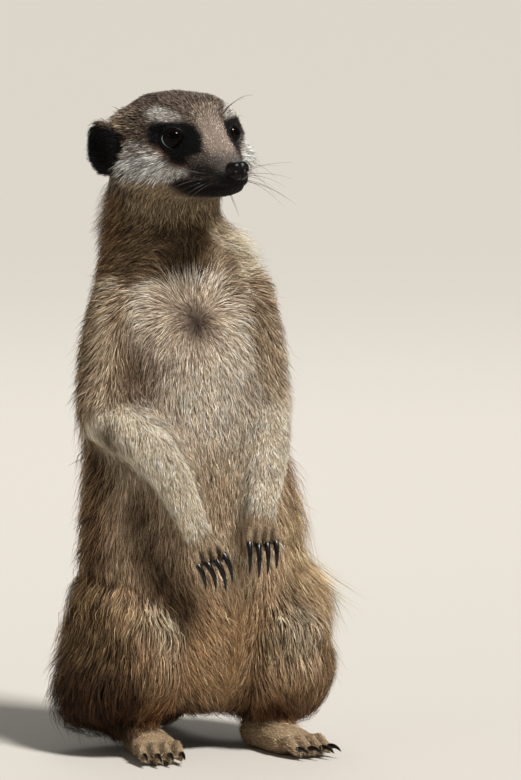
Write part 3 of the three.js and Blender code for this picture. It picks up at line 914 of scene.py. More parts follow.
# The lower outside of the right haunch: rufous hair with painted shade, near black.
outer_right = smoothstep(-45, -58, P[:, 0] / MM)
low_right_with_painted_shade = haunch * smoothstep(62, 28, height) * (side[:, 0] < 0) * outer_right
mark(low_right_with_painted_shade, "#140b06", "#36200f", "#553417", 0.14, 0.35)
low_inner = haunch * smoothstep(44, 18, height) * (side[:, 0] < 0) * (1 - outer_right)
mark(low_inner, "#2c180c", "#6d4423", "#966434", 0.15, 0.25)
low_left = haunch * smoothstep(42, 16, height) * 0.85 * (side[:, 0] > 0)
mark(low_left, "#24120a", "#5e3416", "#844d20", 0.12, 0.3)
mark(zone("foot"), "#7b654d", "#bfa583", "#d6bf9a", 0.15, 0.08)
# Painted shade: near-black colour in the clefts between digits.
mark(between_digits * is_in("hand", "foot"), "#0c0806", "#1c140e", "#2c2118", 0, 0.2)
tail = zone("tail")
mark(tail, "#372719", "#876742", "#aa875b", 0.2, 0.2)
tail_tip_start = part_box("tail_tip")[0].x / MM
mark(tail * smoothstep(-6, 8, P[:, 0] / MM - tail_tip_start), "#0b0907", "#16110e", "#211914", 0, 0.5)
print("the tail's black tip starts at", round(tail_tip_start, 1), "mm")

# %% Marks of the sides and the underside
# Shade is painted into the hair as dark spots between the forearm and the thigh and under the elbow, over
# fur that is dark there too. Below the left arm the hair is golden, and the trunk's hair is darker towards
# the floor.
PAINTED_SHADE_HOLLOWS = (((-50, -70, 106), 7), ((-47, -73, 94), 8), ((-43, -76, 82), 9), ((-38, -79, 70), 8),
           ((-64, -69, 137), 5))
GOLDEN = ((15, -67, 99), (18, -65, 88), (20, -68, 77))
mark(0.85 * np.max([spot(*hollow) for hollow in PAINTED_SHADE_HOLLOWS], axis=0), "#1c120b", "#43311f", "#66503a", 0.08, 0.3)
golden = np.max([spot(place, 9) for place in GOLDEN], axis=0)
mark(np.maximum(0.8 * golden, 0.9 * left_flank), "#6d5234", "#cba67b", "#f0d5aa", 0.4, 0.08)
mark(is_in("trunk") * smoothstep(32, 18, height), "#1c120b", "#4a301a", "#6d4a29", 0.1, 0.3)

# %% Marks of the chest
on_front = on_body * smoothstep(0.0, 0.3, -N[:, 1])
mark(0.75 * np.exp(-(whorl_gap / 11) ** 2) * on_front, "#3d2c22", "#77604c", "#927a62", 0.1, 0.1)
mark(np.exp(-(whorl_gap / 5) ** 2) * on_front, "#231916", "#3c2c26", "#4d3a31", 0, 0.3)
# Dark spots of fur on the chest and arm; those at the right armpit also hold painted shade.
DARK_SPOTS_AND_ARMPIT_SHADE = (((-8.8, -59.1, 206.1), 5, 0.9), ((-5.6, -60.3, 196.4), 4.5, 0.75), ((2, -58, 192), 4, 0.6),
               ((-43, -67, 168), 7, 0.65), ((-47, -67.4, 157), 7, 0.65), ((-47, -58.5, 173), 6, 0.75),
               ((-49, -59.5, 163), 6, 0.75), ((0.8, -67.4, 158), 6, 0.5))  # place, size and strength
for place, size, strength in DARK_SPOTS_AND_ARMPIT_SHADE:
    mark(strength * spot(place, size), "#35261b", "#6d543c", "#8d7157", 0.1, 0.2)
front_arm = is_in("upper_arm") * smoothstep(0.2, 0.5, -N[:, 1])
arm_bars = smoothstep(0.2, 0.8, np.sin(height / 6.5 * 2 * np.pi + 1.5 * fleck)) * smoothstep(165, 185, height)
mark(0.7 * front_arm * arm_bars * (side[:, 0] > 0), "#3a2a1e", "#7d6248", "#9c8061", 0.1, 0.2)
ridge = np.exp(-((P[:, 0] - CROTCH_X) / (3.2 * MM)) ** 2) * smoothstep(76, 62, height)
ridge = ridge * smoothstep(0.1, 0.5, -N[:, 1])
mark(0.5 * ridge * is_in("trunk"), "#6b4a2a", "#b3885a", "#cba577", 0, 0)
print("marks so far:", len(marks))

# %% Outlines of the face
# Drawn in millimetres from the nearer eye: towards the nose, and up.
EYE_PATCH = [(-12.1, 0.9), (-11.3, 4.1), (-9.5, 5.5), (-5.2, 6.2), (-1.0, 6.1), (4.1, 5.8), (7.8, 5.0),
             (10.7, 3.5), (12.0, 0.4), (12.7, -3.1), (12.0, -6.3), (9.8, -7.5), (7.1, -7.9), (6.2, -10.9),
             (4.4, -11.7), (0.4, -12), (-2.2, -10.9), (-3.5, -8.4), (-4.3, -6.3), (-7.2, -4.6), (-10.2, -2.9)]
RUFOUS_RIM = [(-12, -2), (-8, -6), (-5.4, -9.4), (-3, -12), (1, -13.2), (5.4, -12.9), (7.6, -11.5), (2, -6),
              (-6, -3)]
BROW = [(-11.9, 9.5), (-10.3, 11.1), (-6.5, 12.0), (-2.0, 11.2), (1.5, 9.3), (4.6, 7.4), (1.9, 6.2),
        (-1.8, 6.1), (-5.2, 6.2), (-9.1, 6.3), (-10.9, 7.1)]
CHEEK_STREAK = [(-26.1, -13.4), (-24.1, -9.1), (-21.7, -3.3), (-17.4, -2.2), (-13.2, -3.2), (-8.9, -6.2),
                (-5.6, -9.8), (-2.2, -12.3), (3.0, -13.2), (7.1, -14.1), (6.9, -16.7), (4.6, -18.4),
                (-1.6, -19.3), (-10.2, -19.3), (-18.9, -18.2), (-24.6, -16.2)]
MUZZLE = [(6.4, -12.6), (9.5, -11.4), (13, -11.2), (16.4, -12.2), (20, -14.2), (22, -16), (30, -17),
          (30, -25), (20, -26), (6, -24.6), (1.6, -22.4), (-1.8, -19.8), (2.6, -17.6), (7.4, -16.4)]
GREY_MUZZLE = [(6.7, -7.6), (12, -6.3), (16.3, -6.8), (20.4, -7.7), (23, -8.8), (26, -12), (27, -21),
               (16.3, -19), (8.3, -15.8), (6.7, -13.3)]
LIP_BAND = [(-2.4, -19.8), (3, -17.8), (8.4, -17.4), (13.7, -18.6), (19.1, -20), (30, -20), (30, -25),
            (14, -25.6), (5.5, -24.6), (1.2, -22.8)]
# The ear's, drawn backwards and up from the skull's middle.
EAR_BLACK = [(12.4, 2.8), (7.6, -0.2), (4.9, -2.6), (4.8, -6.8), (6.8, -11), (9.4, -14.4), (12.1, -15.6),
             (16, -15), (20, -10), (23, -3), (21, 3), (16, 4)]

# %% Where each hair of the head shows
# A hair is coloured by the place its outer half covers, a little downstream of its root.
SHOWN_AT = 0.6
NOSEWARDS = (0.808, 0.588)  # the level way from an eye towards the nose: inwards, and forwards
S = H + (lie @ head_axes) * SHOWN_AT * coat[:, [LENGTH]]
X = np.abs(S[:, 0])
head = is_in("head", "ear").astype(float)
nose_in = -((X - EYE_SOLID[0]) * NOSEWARDS[0] + (S[:, 1] - EYE_SOLID[1]) * NOSEWARDS[1])
nose_up = S[:, 2] - EYE_SOLID[2]
in_front = (X - EYE_SOLID[0]) * NOSEWARDS[1] - (S[:, 1] - EYE_SOLID[1]) * NOSEWARDS[0]
grain = 0.55 * ripple(P, 2.6)  # keeps edges of marks from being ruled lines


def face_mark(corners, soft):
    """An outline on both sides of the face, and not on the back of the skull."""
    inside = outline(nose_in + grain, nose_up + 0.7 * np.roll(grain, 7), corners, soft)
    return inside * head * smoothstep(-19, -14, in_front)


# %% Marks of the head
mark(relaxed(head[:, None], 5)[:, 0], "#2a211b", "#5f4e41", "#958271", 0.32, 0.25)
forehead = head * smoothstep(14, 4, X) * smoothstep(4, 10, S[:, 2]) * smoothstep(-2, -16, S[:, 1])
mark(forehead * 0.7, "#3c2f26", "#83705f", "#b19e8b", 0.35, 0.2)
# Cream hair under the jaw and the lower cheeks, painted darker as the shade under the head.
under_jaw_with_painted_shade = smoothstep(-18.5, -22, S[:, 2]) * smoothstep(-44, -32, S[:, 2]) * smoothstep(14, 4, S[:, 1])
under_jaw_with_painted_shade = under_jaw_with_painted_shade * np.maximum(head, is_in("neck") * smoothstep(120, 80, from_chest))
mark(under_jaw_with_painted_shade, "#635240", "#a18c70", "#c4ae8c", 0.2, 0.08)
bridge = head * smoothstep(9, 5, X) * smoothstep(-10, -22, S[:, 1]) * smoothstep(-20, -12, S[:, 2])
mark(bridge, "#65564a", "#ad9b8b", "#cabaa9", 0.3, 0.14)
mark(bridge * smoothstep(-27, -36, S[:, 1]) * 0.9, "#3d3632", "#857a72", "#a89c92", 0.2, 0.2)
mark(face_mark(CHEEK_STREAK, 1.8), "#6b655e", "#d3cdc4", "#faf6ee", 0.45, 0.16)
temple = face_mark(CHEEK_STREAK, 2.0) * smoothstep(-11, -5, nose_up) * 0.75
mark(temple, "#352b25", "#7d7064", "#c3b8aa", 0.35, 0.32)
left_cheek = head * smoothstep(17, 21, X) * smoothstep(0, -6, S[:, 1]) * smoothstep(-1, -6, S[:, 2])
left_cheek = left_cheek * smoothstep(-19, -15, S[:, 2]) * (S[:, 0] > 0)
mark(np.maximum(left_cheek, 0.8 * fluff * (nose_up < -7)), "#a39c94", "#e6e2da", "#faf7f0", 0.5, 0.03)
mark(face_mark(BROW, 1.3), "#6b635b", "#c2bab0", "#ece6dc", 0.4, 0.12)
mark(0.8 * face_mark(GREY_MUZZLE, 2.6), "#2b2623", "#615953", "#857b73", 0.2, 0.2)
mark(0.85 * face_mark(RUFOUS_RIM, 1.0), "#27150c", "#59351d", "#7a5230", 0, 0.2)
mark(face_mark(EYE_PATCH, 0.8), "#030202", "#060505", "#0b0908", 0.0, 0)
smoky = outline(nose_in + grain, nose_up + 1.8, MUZZLE, 3.2) * head
mark(0.8 * smoky, "#1d1917", "#4b443f", "#746a62", 0.12, 0.2)
mark(0.8 * face_mark(MUZZLE, 2.0), "#100e0d", "#2b2623", "#4b433d", 0.08, 0.2)
mark(face_mark(LIP_BAND, 1.3), "#070606", "#100e0d", "#1b1816", 0.04, 0)
tip_of_nose = head * smoothstep(-35.5, -39, S[:, 1]) * smoothstep(-13, -17, S[:, 2] + 0.2 * X)
mark(tip_of_nose, "#0b0a09", "#171412", "#221e1b", 0, 0)
ear_shape = outline(S[:, 1] + grain, S[:, 2] + grain, EAR_BLACK, 0.9) * smoothstep(19, 22, X) * head
ear_shape = np.maximum(is_in("ear") * smoothstep(4.5, 2, S[:, 2] + grain), ear_shape)
mark(ear_shape, "#040303", "#080606", "#100c0a", 0.02, 0)
mark(0.9 * before_ear, "#2f251e", "#77654f", "#b7a189", 0.45, 0.2)
print(len(marks), "marks")

# %% Laying the marks over each other
hair = np.zeros((len(P), 11))  # root, shaft and tip colours, then pale and dark shares
for mask, root, shaft, tip, pale, dark in marks:
    row = np.concatenate([root, shaft, tip, [pale, dark]])
    hair += mask[:, None] * (row - hair)
body = ~is_in("head", "ear")
hair[body] = relaxed(hair, 2)[body]
print("mean colour of the tips:", hair[:, 6:9].mean(0).round(3))

# %% [markdown]
# ## Skin material
# Under the coat the skin is dull and a little uneven. Its colour is the marking's root and shaft mixed, so
# that a parting in the hair shows the same marking, darker. The lids and lips are bare and moist.

# %% Painted skin


def coat_skin():
    """Dry skin and underfur: matt, mottled at the scale of single hairs, 0.6 mm."""
    material, tree = start_material("skin with underfur")
    marking = add_node(tree, "Attribute", {"attribute_name": "marking"})
    mottle = noise(tree, own_place(tree), 1600.0, 3.0)
    return finish_material(material, {
        "Base Color": shaded(tree, marking.outputs["Color"], mottle, 0.7, 1.15),
        "Roughness": 0.8, "Specular IOR Level": 0.12, "Normal": bumped(tree, mottle, 0.5, 0.0004)})


def paint(mesh, name, colours):
    """Stores linear colours on the mesh's points."""
    layer = mesh.attributes.new(name, "FLOAT_COLOR", "POINT")
    flat = np.ones((len(colours), 4), np.float32)
    flat[:, :3] = colours
    layer.data.foreach_set("color", flat.ravel())


ROOT_SHARE, SHAFT_SHARE = 0.7, 0.3
UNDER_COAT = 0.8  # how much darker the skin is than the hair
FACES_KEPT = 0.62
skin = new_object("skin", P, quads, coat_skin())
skin_colour = hair[:, :3] * ROOT_SHARE + hair[:, 3:6] * SHAFT_SHARE
paint(skin.data, "marking", skin_colour * UNDER_COAT)
covered = np.flatnonzero(~is_in("head", "ear", "hand", "foot"))
skin.vertex_groups.new(name="coarse").add(covered.tolist(), 1.0, "REPLACE")
thin = skin.modifiers.new("fewer faces where hair covers it", "DECIMATE")
thin.vertex_group = "coarse"
thin.ratio = FACES_KEPT
bpy.context.view_layer.objects.active = skin
bpy.ops.object.modifier_apply(modifier=thin.name)
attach(skin, "root")
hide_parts(*flesh)
print("skin:", sum(len(face.vertices) - 2 for face in skin.data.polygons), "triangles")

# %% [markdown]
# ## Tufts
# Hair curves can't leave Blender as a solid, so the coat is made of tufts: closed three-sided blades that
# start inside the skin, follow the lie and the bend of the skin, rise into the coat's depth and end in a
# point. One function makes thousands of them at once from arrays of roots.

# %% Sorting roots
TRIANGLES = np.concatenate([quads[:, [0, 1, 2]], quads[:, [0, 2, 3]]])
ROOT_DEPTH = 0.35 * MM
PATCH = 0.003  # a tuft's size on the unwrapped skin


def roots_on(nodes, keep):
    """Roots spread over the skin of some nodes by area times tufts to a square millimetre, kept to the faces
    whose points are marked. Returns each root's three corner points and their weights."""
    members = np.isin(part, [flesh.index(node) for node in nodes]) & keep
    faces = TRIANGLES[members[TRIANGLES[:, 0]]]
    area = np.linalg.norm(face_vectors(P, faces), axis=1) / MM ** 2
    share = np.cumsum(area * coat[faces, DENSITY].mean(1))
    count = int(share[-1])
    chosen = np.searchsorted(share, (np.arange(count) + chance.random(count)) * share[-1] / count)
    a, b = np.sqrt(chance.random(count)), chance.random(count)
    weights = np.stack([1 - a, a * (1 - b), a * b], axis=1)
    return faces[np.minimum(chosen, len(faces) - 1)], weights


def unwrapped(roots, corners, nodes):
    """The roots' places on an unwrap of the skin: each node gets a strip, and in it u is the angle round the
    node's long axis and v the distance along it."""
    owner = part[corners[:, 0]]
    u, v = np.zeros(len(roots)), np.zeros(len(roots))
    for k, node in enumerate(nodes):
        mine = owner == flesh.index(node)
        around = P[part == flesh.index(node)]
        centre = around.mean(0)
        _, _, axes = np.linalg.svd((around - centre)[::7], full_matrices=False)
        low, high = ((around - centre) @ axes[0]).min(), ((around - centre) @ axes[0]).max()
        local = (roots[mine] - centre) @ axes.T
        turn_share = np.arctan2(local[:, 1], local[:, 2]) / (2 * np.pi) + 0.5
        u[mine] = (k + 0.02 + 0.95 * turn_share) / len(nodes)
        v[mine] = 0.01 + 0.97 * (local[:, 0] - low) / (high - low)
    return np.stack([u, v], axis=1)


# %% The shape of one piece's tufts
RINGS = 2  # of each blade, before its point
STRAY_LONGER, STRAY_PROUDER, STRAY_WILDER = 1.25, 1.55, 2.0
FAN = 0.17  # how far hairs lean sideways from the lie
SWERVE = 16  # and how sharply they curve sideways, per metre
ABOVE_FLOOR = 0.25 * MM


def tuft_points(count, at_roots, clump, draw):
    """Where every tuft's points lie. At a share t of its length a tuft's middle is
    root + lie s + bend s^2 / 2 + normal depth (1 - (1 - t)^1.7), with s = t length, and its section is a flat
    triangle of half width (0.62 + 0.9 t - 1.52 t^2), which is nothing at the tip. Tips near each other are
    drawn together into locks. Returns the points as count x points x 3, and each tuft's lock by number."""
    root, normal, way = at_roots(P), unit(at_roots(N)), at_roots(lie)
    way = unit(way - normal * dot(way, normal))
    long, wide, deep, _, proud, stray_share = at_roots(coat).T[..., None]
    length = long * MM * (0.6 + 0.7 * chance.random((count, 1)))
    half = wide * MM * (0.28 + 0.4 * chance.random((count, 1)))
    stray = chance.random((count, 1)) < stray_share
    length = length * np.where(stray, STRAY_LONGER, 1.0)
    proud = proud * np.where(stray, STRAY_PROUDER, 1.0)
    rise = deep * MM * (0.25 + 0.75 * chance.random((count, 1))) * proud
    fanned = np.cross(normal, way) * chance.normal(0, FAN, (count, 1)) * np.where(stray, STRAY_WILDER, 1.0)
    way = unit(way + fanned)
    across = np.cross(normal, way)
    curve, swerve = at_roots(bend), at_roots(turn) + across * chance.normal(0, SWERVE, (count, 1))
    t = np.linspace(0, 1, RINGS + 1)[None, :, None]
    s = t * length[:, None]
    up = unit(normal[:, None] - way[:, None] * (curve[:, None] * s))
    line = (root[:, None] + way[:, None] * s + (normal * curve + swerve)[:, None] * s ** 2 / 2
            + up * (rise[:, None] * (1 - (1 - t) ** 1.7) - ROOT_DEPTH * (1 - t)))
    # locks: neighbours' tips lean together
    uneven = 0.35 * clump * MM * np.sin(root[:, [1, 2, 0]] * 900)
    cell = np.floor((root + uneven) / (clump * MM)).astype(np.int64)
    _, lock = np.unique(cell @ [1, 4096, 4096 ** 2], return_inverse=True)
    lock = lock.ravel()
    members = np.bincount(lock)[:, None]
    shared = np.stack([np.bincount(lock, column) for column in line[:, -1].T], axis=1) / members
    pull = (shared[lock] - line[:, -1]) * draw * (0.5 + 0.8 * chance.random((count, 1)))
    line = line + pull[:, None] * t ** 2
    # the blade's section
    roll = chance.uniform(-0.7, 0.7, (count, 1, 1))
    up, sideways = up[:, :-1], across[:, None]
    flat = sideways * np.cos(roll) + up * np.sin(roll)
    over = up * np.cos(roll) - sideways * np.sin(roll)
    taper = (0.62 + 0.9 * t - 1.52 * t ** 2)[:, :-1] * half[:, None]
    body = line[:, :-1]
    ring = np.stack([body + flat * taper, body + over * taper * 0.62, body - flat * taper], axis=2)
    points = np.concatenate([ring.reshape(count, RINGS * 3, 3), line[:, -1:]], axis=1)
    points[..., 2] = np.maximum(points[..., 2], ABOVE_FLOOR)
    return points, lock


def tuft_faces(count):
    """Triangles of count closed tufts: a three-sided blade of some rings, shut at the root and pointed at
    the tip. One blade's numbers are repeated with a step."""
    faces = [(0, 2, 1)]
    for start in range(0, 3 * RINGS - 3, 3):
        for j in range(3):
            a, b = start + j, start + (j + 1) % 3
            faces += [(a, b, b + 3), (a, b + 3, a + 3)]
    last = 3 * RINGS - 3
    faces += [(last + j, last + (j + 1) % 3, last + 3) for j in range(3)]
    return (np.arange(count)[:, None, None] * (3 * RINGS + 1) + np.array(faces)).reshape(-1, 3)


# %% Colours along a tuft


def tuft_colours(rows, count, lock):
    """Root colour, then shaft, then tip along each tuft. Every tuft and every lock is a little lighter or
    darker, the three edges of a blade differ so that it reads as finer hairs, and some tufts are pale or dark
    from end to end."""
    root, shaft, tip = rows[:, :3], rows[:, 3:6], rows[:, 6:9]
    draw = chance.random((count, 1))
    pale = draw < rows[:, 9:10]
    dark = draw > 1 - rows[:, 10:11]
    shaft = np.where(pale, tip * 1.05, np.where(dark, root * 0.9, shaft))
    tip = np.where(pale, tip * 1.3, np.where(dark, root * 0.6, tip))
    light = chance.normal(0, 0.17, (count, 1))
    light = np.exp(light + chance.normal(0, 0.13, lock.max() + 1)[lock][:, None])
    t = np.arange(RINGS)[:, None] / RINGS
    to_shaft, to_tip = smoothstep(0.0, 0.45, t), smoothstep(0.45, 1.05, t)
    body = root[:, None] * (1 - to_shaft) + shaft[:, None] * to_shaft
    body = body * (1 - to_tip) + tip[:, None] * to_tip
    edges = np.exp(chance.normal(0, 0.2, (count, 1, 3, 1)))
    body = (body[:, :, None] * edges).reshape(count, 3 * RINGS, 3)
    return np.clip(np.concatenate([body, tip[:, None]], axis=1) * light[:, None], 0, 1).reshape(-1, 3)


def hair_fibre():
    """Guard hair: a keratin fibre with a soft shine, and colour that drifts over a few millimetres."""
    material, tree = start_material("guard hair")
    colour = add_node(tree, "Attribute", {"attribute_name": "hair_colour"})
    drift = noise(tree, own_place(tree), 140.0, 2.0)
    return finish_material(material, {
        "Base Color": shaded(tree, colour.outputs["Color"], drift, 0.86, 1.14),
        "Roughness": 0.5, "IOR": 1.55, "Specular IOR Level": 0.14})


hair_material = hair_fibre()

# %% One piece of coat


def coat_piece(name, nodes, clump, draw, keep):
    """Plants a piece of coat on some nodes, paints it and gives each tuft its place on the unwrapped skin."""
    corners, weights = roots_on(nodes, keep)
    count = len(corners)

    def at_roots(values):
        """Values of the skin's points, blended to the roots."""
        return (values[corners] * weights[..., None]).sum(1)

    points, lock = tuft_points(count, at_roots, clump, draw)
    triangles = tuft_faces(count)
    made = new_object(name, points.reshape(-1, 3), triangles, hair_material)
    paint(made.data, "hair_colour", tuft_colours(at_roots(hair), count, lock))
    along = np.append(np.repeat(np.arange(RINGS) / RINGS, 3) + np.tile([0, 0.12, 0], RINGS), 1)
    across = np.append(np.tile([0, 0.5, 1], RINGS), 0.5)
    places = unwrapped(at_roots(P), corners, nodes)[:, None] + np.stack([across, along], axis=1) * PATCH
    layer = made.data.uv_layers.new(name="OFBake")
    layer.data.foreach_set("uv", places.reshape(-1, 2)[triangles.ravel()].astype(np.float32).ravel())
    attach(made, "root")
    print(name, count, "tufts,", len(triangles), "triangles")
    return len(triangles)


# %% Planting the coat
ALL = np.ones(len(P), bool)
RIGHT = H[:, 0] < 0
FRONT = from_chest < 80
HIGH = height > 125
# The nodes, the size of a lock in millimetres, how far its tips draw together, and which points are kept.
COAT_PIECES = {
    "coat_head_right": (["head"], 1.8, 0.25, RIGHT),
    "coat_head_left": (["head"], 1.8, 0.25, ~RIGHT),
    "coat_ears": (["ear_right", "ear_left"], 1.6, 0.3, ALL),
    "coat_neck": (["neck"], 2.2, 0.28, ALL),
    "coat_chest": (["trunk"], 2.2, 0.22, FRONT & HIGH),
    "coat_belly": (["trunk"], 2.4, 0.25, FRONT & ~HIGH),
    "coat_back_upper": (["trunk"], 3.6, 0.55, ~FRONT & HIGH),
    "coat_back_lower": (["trunk"], 3.6, 0.55, ~FRONT & ~HIGH),
    "coat_arm_right": (["upper_arm_right", "forearm_right"], 2.6, 0.3, ALL),
    "coat_arm_left": (["upper_arm_left", "forearm_left"], 2.6, 0.3, ALL),
    "coat_hands": (["hand_right", "hand_left"], 1.4, 0.2, ALL),
    "coat_haunch_right": (["thigh_right", "shank_right"], 4.0, 0.55, ALL),
    "coat_haunch_left": (["thigh_left", "shank_left"], 4.0, 0.55, ALL),
    "coat_feet": (["foot_right", "foot_left"], 1.5, 0.2, ALL),
    "coat_tail": (["tail_base", "tail_middle", "tail_tip"], 3.0, 0.4, ALL),
}
coat_triangles = sum(coat_piece(name, *row) for name, row in COAT_PIECES.items())
print("coat:", coat_triangles, "triangles")

# %% [markdown]
# ## Eyes
# A meerkat's eye is very dark: a brown iris that hardly shows round the pupil, under a clear wet cornea. The
# ball is a sphere with a small swelling for the cornea. Its colours go by the angle from where it looks,
# stored on the points, so a sliver of grey-white shows only at the outer corner: partly sclera, and partly a
# painted reflection of the wet rim.

# %% Eyeballs
CORNEA_SWELL = 0.45
LOOK_LOCAL = unit(np.array([0.46, -0.87, 0.22]))  # of the left eye
# Where the grey-white rim begins: sclera, with a painted reflection of the wet rim.
SCLERA_AND_REFLECTION_ANGLE = math.radians(60)
# Colours from the middle of the pupil, 0, to the sclera, 1: pupil, iris, its dark edge, then the sclera,
# whose grey-white is partly a painted reflection of the wet rim.
EYE_STOPS = {0.0: "#020202", 0.38: "#030202", 0.44: "#0e0704", 0.72: "#090503", 0.84: "#030202",
             0.95: "#060607", 1.0: "#99a2aa"}


def ball_directions(rows, columns, pole):
    """Directions over a ball, row by row from its pole: cos(a) pole + sin(a) (cos(b) side + sin(b) over),
    with the two poles last. Returns them with each one's angle a."""
    side_way = unit(np.cross([0, 0, 1.0], pole))
    over = np.cross(pole, side_way)
    a = np.linspace(0, np.pi, rows + 2)[1:-1, None, None]
    b = np.linspace(0, 2 * np.pi, columns, endpoint=False)[None, :, None]
    out = np.cos(a) * pole + np.sin(a) * (np.cos(b) * side_way + np.sin(b) * over)
    angle = np.broadcast_to(a[..., 0], (rows, columns)).ravel()
    return np.vstack([out.reshape(-1, 3), pole, -pole]), np.append(angle, [0, np.pi])


def set_stops(ramp, stops):
    """Gives a colour ramp its places and hex colours."""
    elements = ramp.color_ramp.elements
    for k, (place, colour) in enumerate(stops.items()):
        element = elements[k] if k < len(elements) else elements.new(place)
        element.position = place
        element.color = rgba(colour)


def wet_eye():
    """A living eye: a brown so dark that it is nearly black, a grey-white rim of sclera that is partly a
    painted reflection, and a film of water over all of it, so it mirrors the lamp as one sharp spark."""
    material, tree = start_material("wet eye")
    angle = add_node(tree, "Attribute", {"attribute_name": "from_look"})
    ramp = add_node(tree, "ValToRGB", inputs={"Fac": angle.outputs["Fac"]})
    set_stops(ramp, EYE_STOPS)
    return finish_material(material, {
        "Base Color": ramp.outputs["Color"], "Roughness": 0.03, "IOR": 1.34, "Specular IOR Level": 0.12})


eye_material = wet_eye()
for label, which in SIDES:
    look = unit(head_axes @ (LOOK_LOCAL * [which, 1, 1]))
    ways_out, angle = ball_directions(40, 64, look)
    reach = (EYE_RADIUS - 0.05 + CORNEA_SWELL * np.exp(-(angle / 0.62) ** 4)) * MM
    centre = from_head(EYE_LOCAL * [which, 1, 1])
    around = centre + ways_out * reach[:, None]
    ball = new_object(f"eyeball_{label}", around, grid_faces(40, 64)[:, ::-1], eye_material)
    layer = ball.data.attributes.new("from_look", "FLOAT", "POINT")
    layer.data.foreach_set("value", np.clip(angle / SCLERA_AND_REFLECTION_ANGLE, 0, 1).astype(np.float32))
    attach(ball, "root")
    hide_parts(f"eye_{label}")
print("eyeballs:", len(angle), "points each")

# %% [markdown]
# ## Lid rims
# Where the lids meet the ball there is a bare rim of black moist skin. A thin tube along the opening's edge
# makes it, thicker at the lower lid and drawn to a point at the inner corner.

# %% Rims


def moist_skin():
    """Bare black skin, wet at the eye: finely wrinkled, with a soft sheen."""
    material, tree = start_material("moist black skin")
    wrinkle = noise(tree, own_place(tree), 2600.0, 2.0)
    return finish_material(material, {
        "Base Color": rgba("#060505"), "Roughness": 0.38, "Specular IOR Level": 0.15,
        "Normal": bumped(tree, wrinkle, 0.4, 0.0001)})


rim_material = moist_skin()


def lid_rim(which, steps=72, sides=10):
    """A closed tube round the opening: its middle line is gaze cos(m) + (inwards cos(b) + up sin(b)) sin(m),
    with m the opening's angle along b, on a sphere just over the ball. The opening reaches a sixth further at
    the inner corner, where b is 0, and the tube is thickest below and thinnest at that corner."""
    centre, gaze, inwards, up = eye_frame(which)
    b = np.linspace(0, 2 * np.pi, steps, endpoint=False)
    wide = 1 / np.hypot(np.cos(b) / LID_HALF_WIDTH, np.sin(b) / LID_HALF_HEIGHT)
    corner = 1 + 0.16 * np.exp(-(np.minimum(b, 2 * np.pi - b) / 0.25) ** 2)
    m = (wide * corner)[:, None]
    line = gaze * np.cos(m) + (inwards * np.cos(b)[:, None] + up * np.sin(b)[:, None]) * np.sin(m)
    thick = 0.42 - 0.12 * np.sin(b) - 0.15 * np.exp(-(np.minimum(b, 2 * np.pi - b) / 0.4) ** 2)
    line = from_head(centre + line * (EYE_RADIUS + 0.28))
    ahead = unit(np.roll(line, -1, axis=0) - np.roll(line, 1, axis=0))
    over = unit(line - from_head(centre))
    sideways = np.cross(ahead, over)
    a = np.linspace(0, 2 * np.pi, sides, endpoint=False)[None, :, None]
    around = sideways[:, None] * np.cos(a) + over[:, None] * np.sin(a)
    rings = line[:, None] + around * thick[:, None, None] * MM
    i, j = np.meshgrid(np.arange(steps), np.arange(sides), indexing="ij")
    here, beside = i * sides + j, i * sides + (j + 1) % sides
    after, after_beside = (here + sides) % (steps * sides), (beside + sides) % (steps * sides)
    faces = np.stack([here, after, after_beside, beside], axis=-1).reshape(-1, 4)
    return rings.reshape(-1, 3), faces if which < 0 else faces[:, ::-1]


for label, which in SIDES:
    rim = new_object(f"lid_rim_{label}", *lid_rim(which), rim_material)
    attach(rim, "root")
print("lid rims made")

# %% [markdown]
# ## Nose leather
# The nose is a small pad of bare black leather, pebbled like a dog's, with a comma-shaped nostril on each
# side and a groove down its middle. It is an egg on a fine grid, pressed in by formula.

# %% The pad


def nose_pad(rows=90, columns=120):
    """An egg of NOSE_HALF, squarer than an ellipsoid, pressed back by a round pit and a slit on each side and
    by a groove in the middle: each is depth e^-(distance / width)^2."""
    out, _ = ball_directions(rows, columns, np.array([0, -1.0, 0]))
    egg = out / (np.abs(out) ** 2.5).sum(1, keepdims=True) ** (1 / 2.5) * NOSE_HALF
    x, z = np.abs(egg[:, 0]), egg[:, 2]
    egg[:, 0] *= 1 + 0.1 * z / NOSE_HALF[2]
    facing = smoothstep(0.1, 0.5, -out[:, 1])
    sides = smoothstep(-0.5, 0.0, -out[:, 1])
    pit = 1.9 * np.exp(-((x - 2.35) / 0.95) ** 2 - ((z + 0.1) / 1.0) ** 2)
    slit = 0.9 * np.exp(-((x - 3.9) / 1.3) ** 2 - ((z + 0.9 + 0.25 * (x - 3)) / 0.5) ** 2)
    groove = 0.6 * np.exp(-(x / 0.35) ** 2) * smoothstep(1.5, -0.5, z)
    crown = 0.35 * np.exp(-(x / 1.2) ** 2) * smoothstep(0, 2, z)
    egg[:, 1] += facing * (pit + groove + crown)
    egg -= out * (sides * slit)[:, None]
    return from_head(NOSE_LOCAL + egg), grid_faces(rows, columns)


def nose_leather():
    """Bare leather: pebbles a third of a millimetre across, darker in the grooves between them."""
    material, tree = start_material("pebbled nose leather")
    pebble = add_node(tree, "TexVoronoi", {"feature": "SMOOTH_F1"}, {
        "Vector": own_place(tree), "Scale": 2600.0})
    bump = add_node(tree, "Bump", {"invert": True}, {
        "Height": pebble.outputs["Distance"], "Strength": 0.55, "Distance": 0.00012})
    return finish_material(material, {
        "Base Color": shaded(tree, linear("#080606"), pebble.outputs["Distance"], 1.3, 0.6, (0.1, 0.6)),
        "Roughness": 0.28, "Specular IOR Level": 0.17, "Normal": bump.outputs["Normal"]})


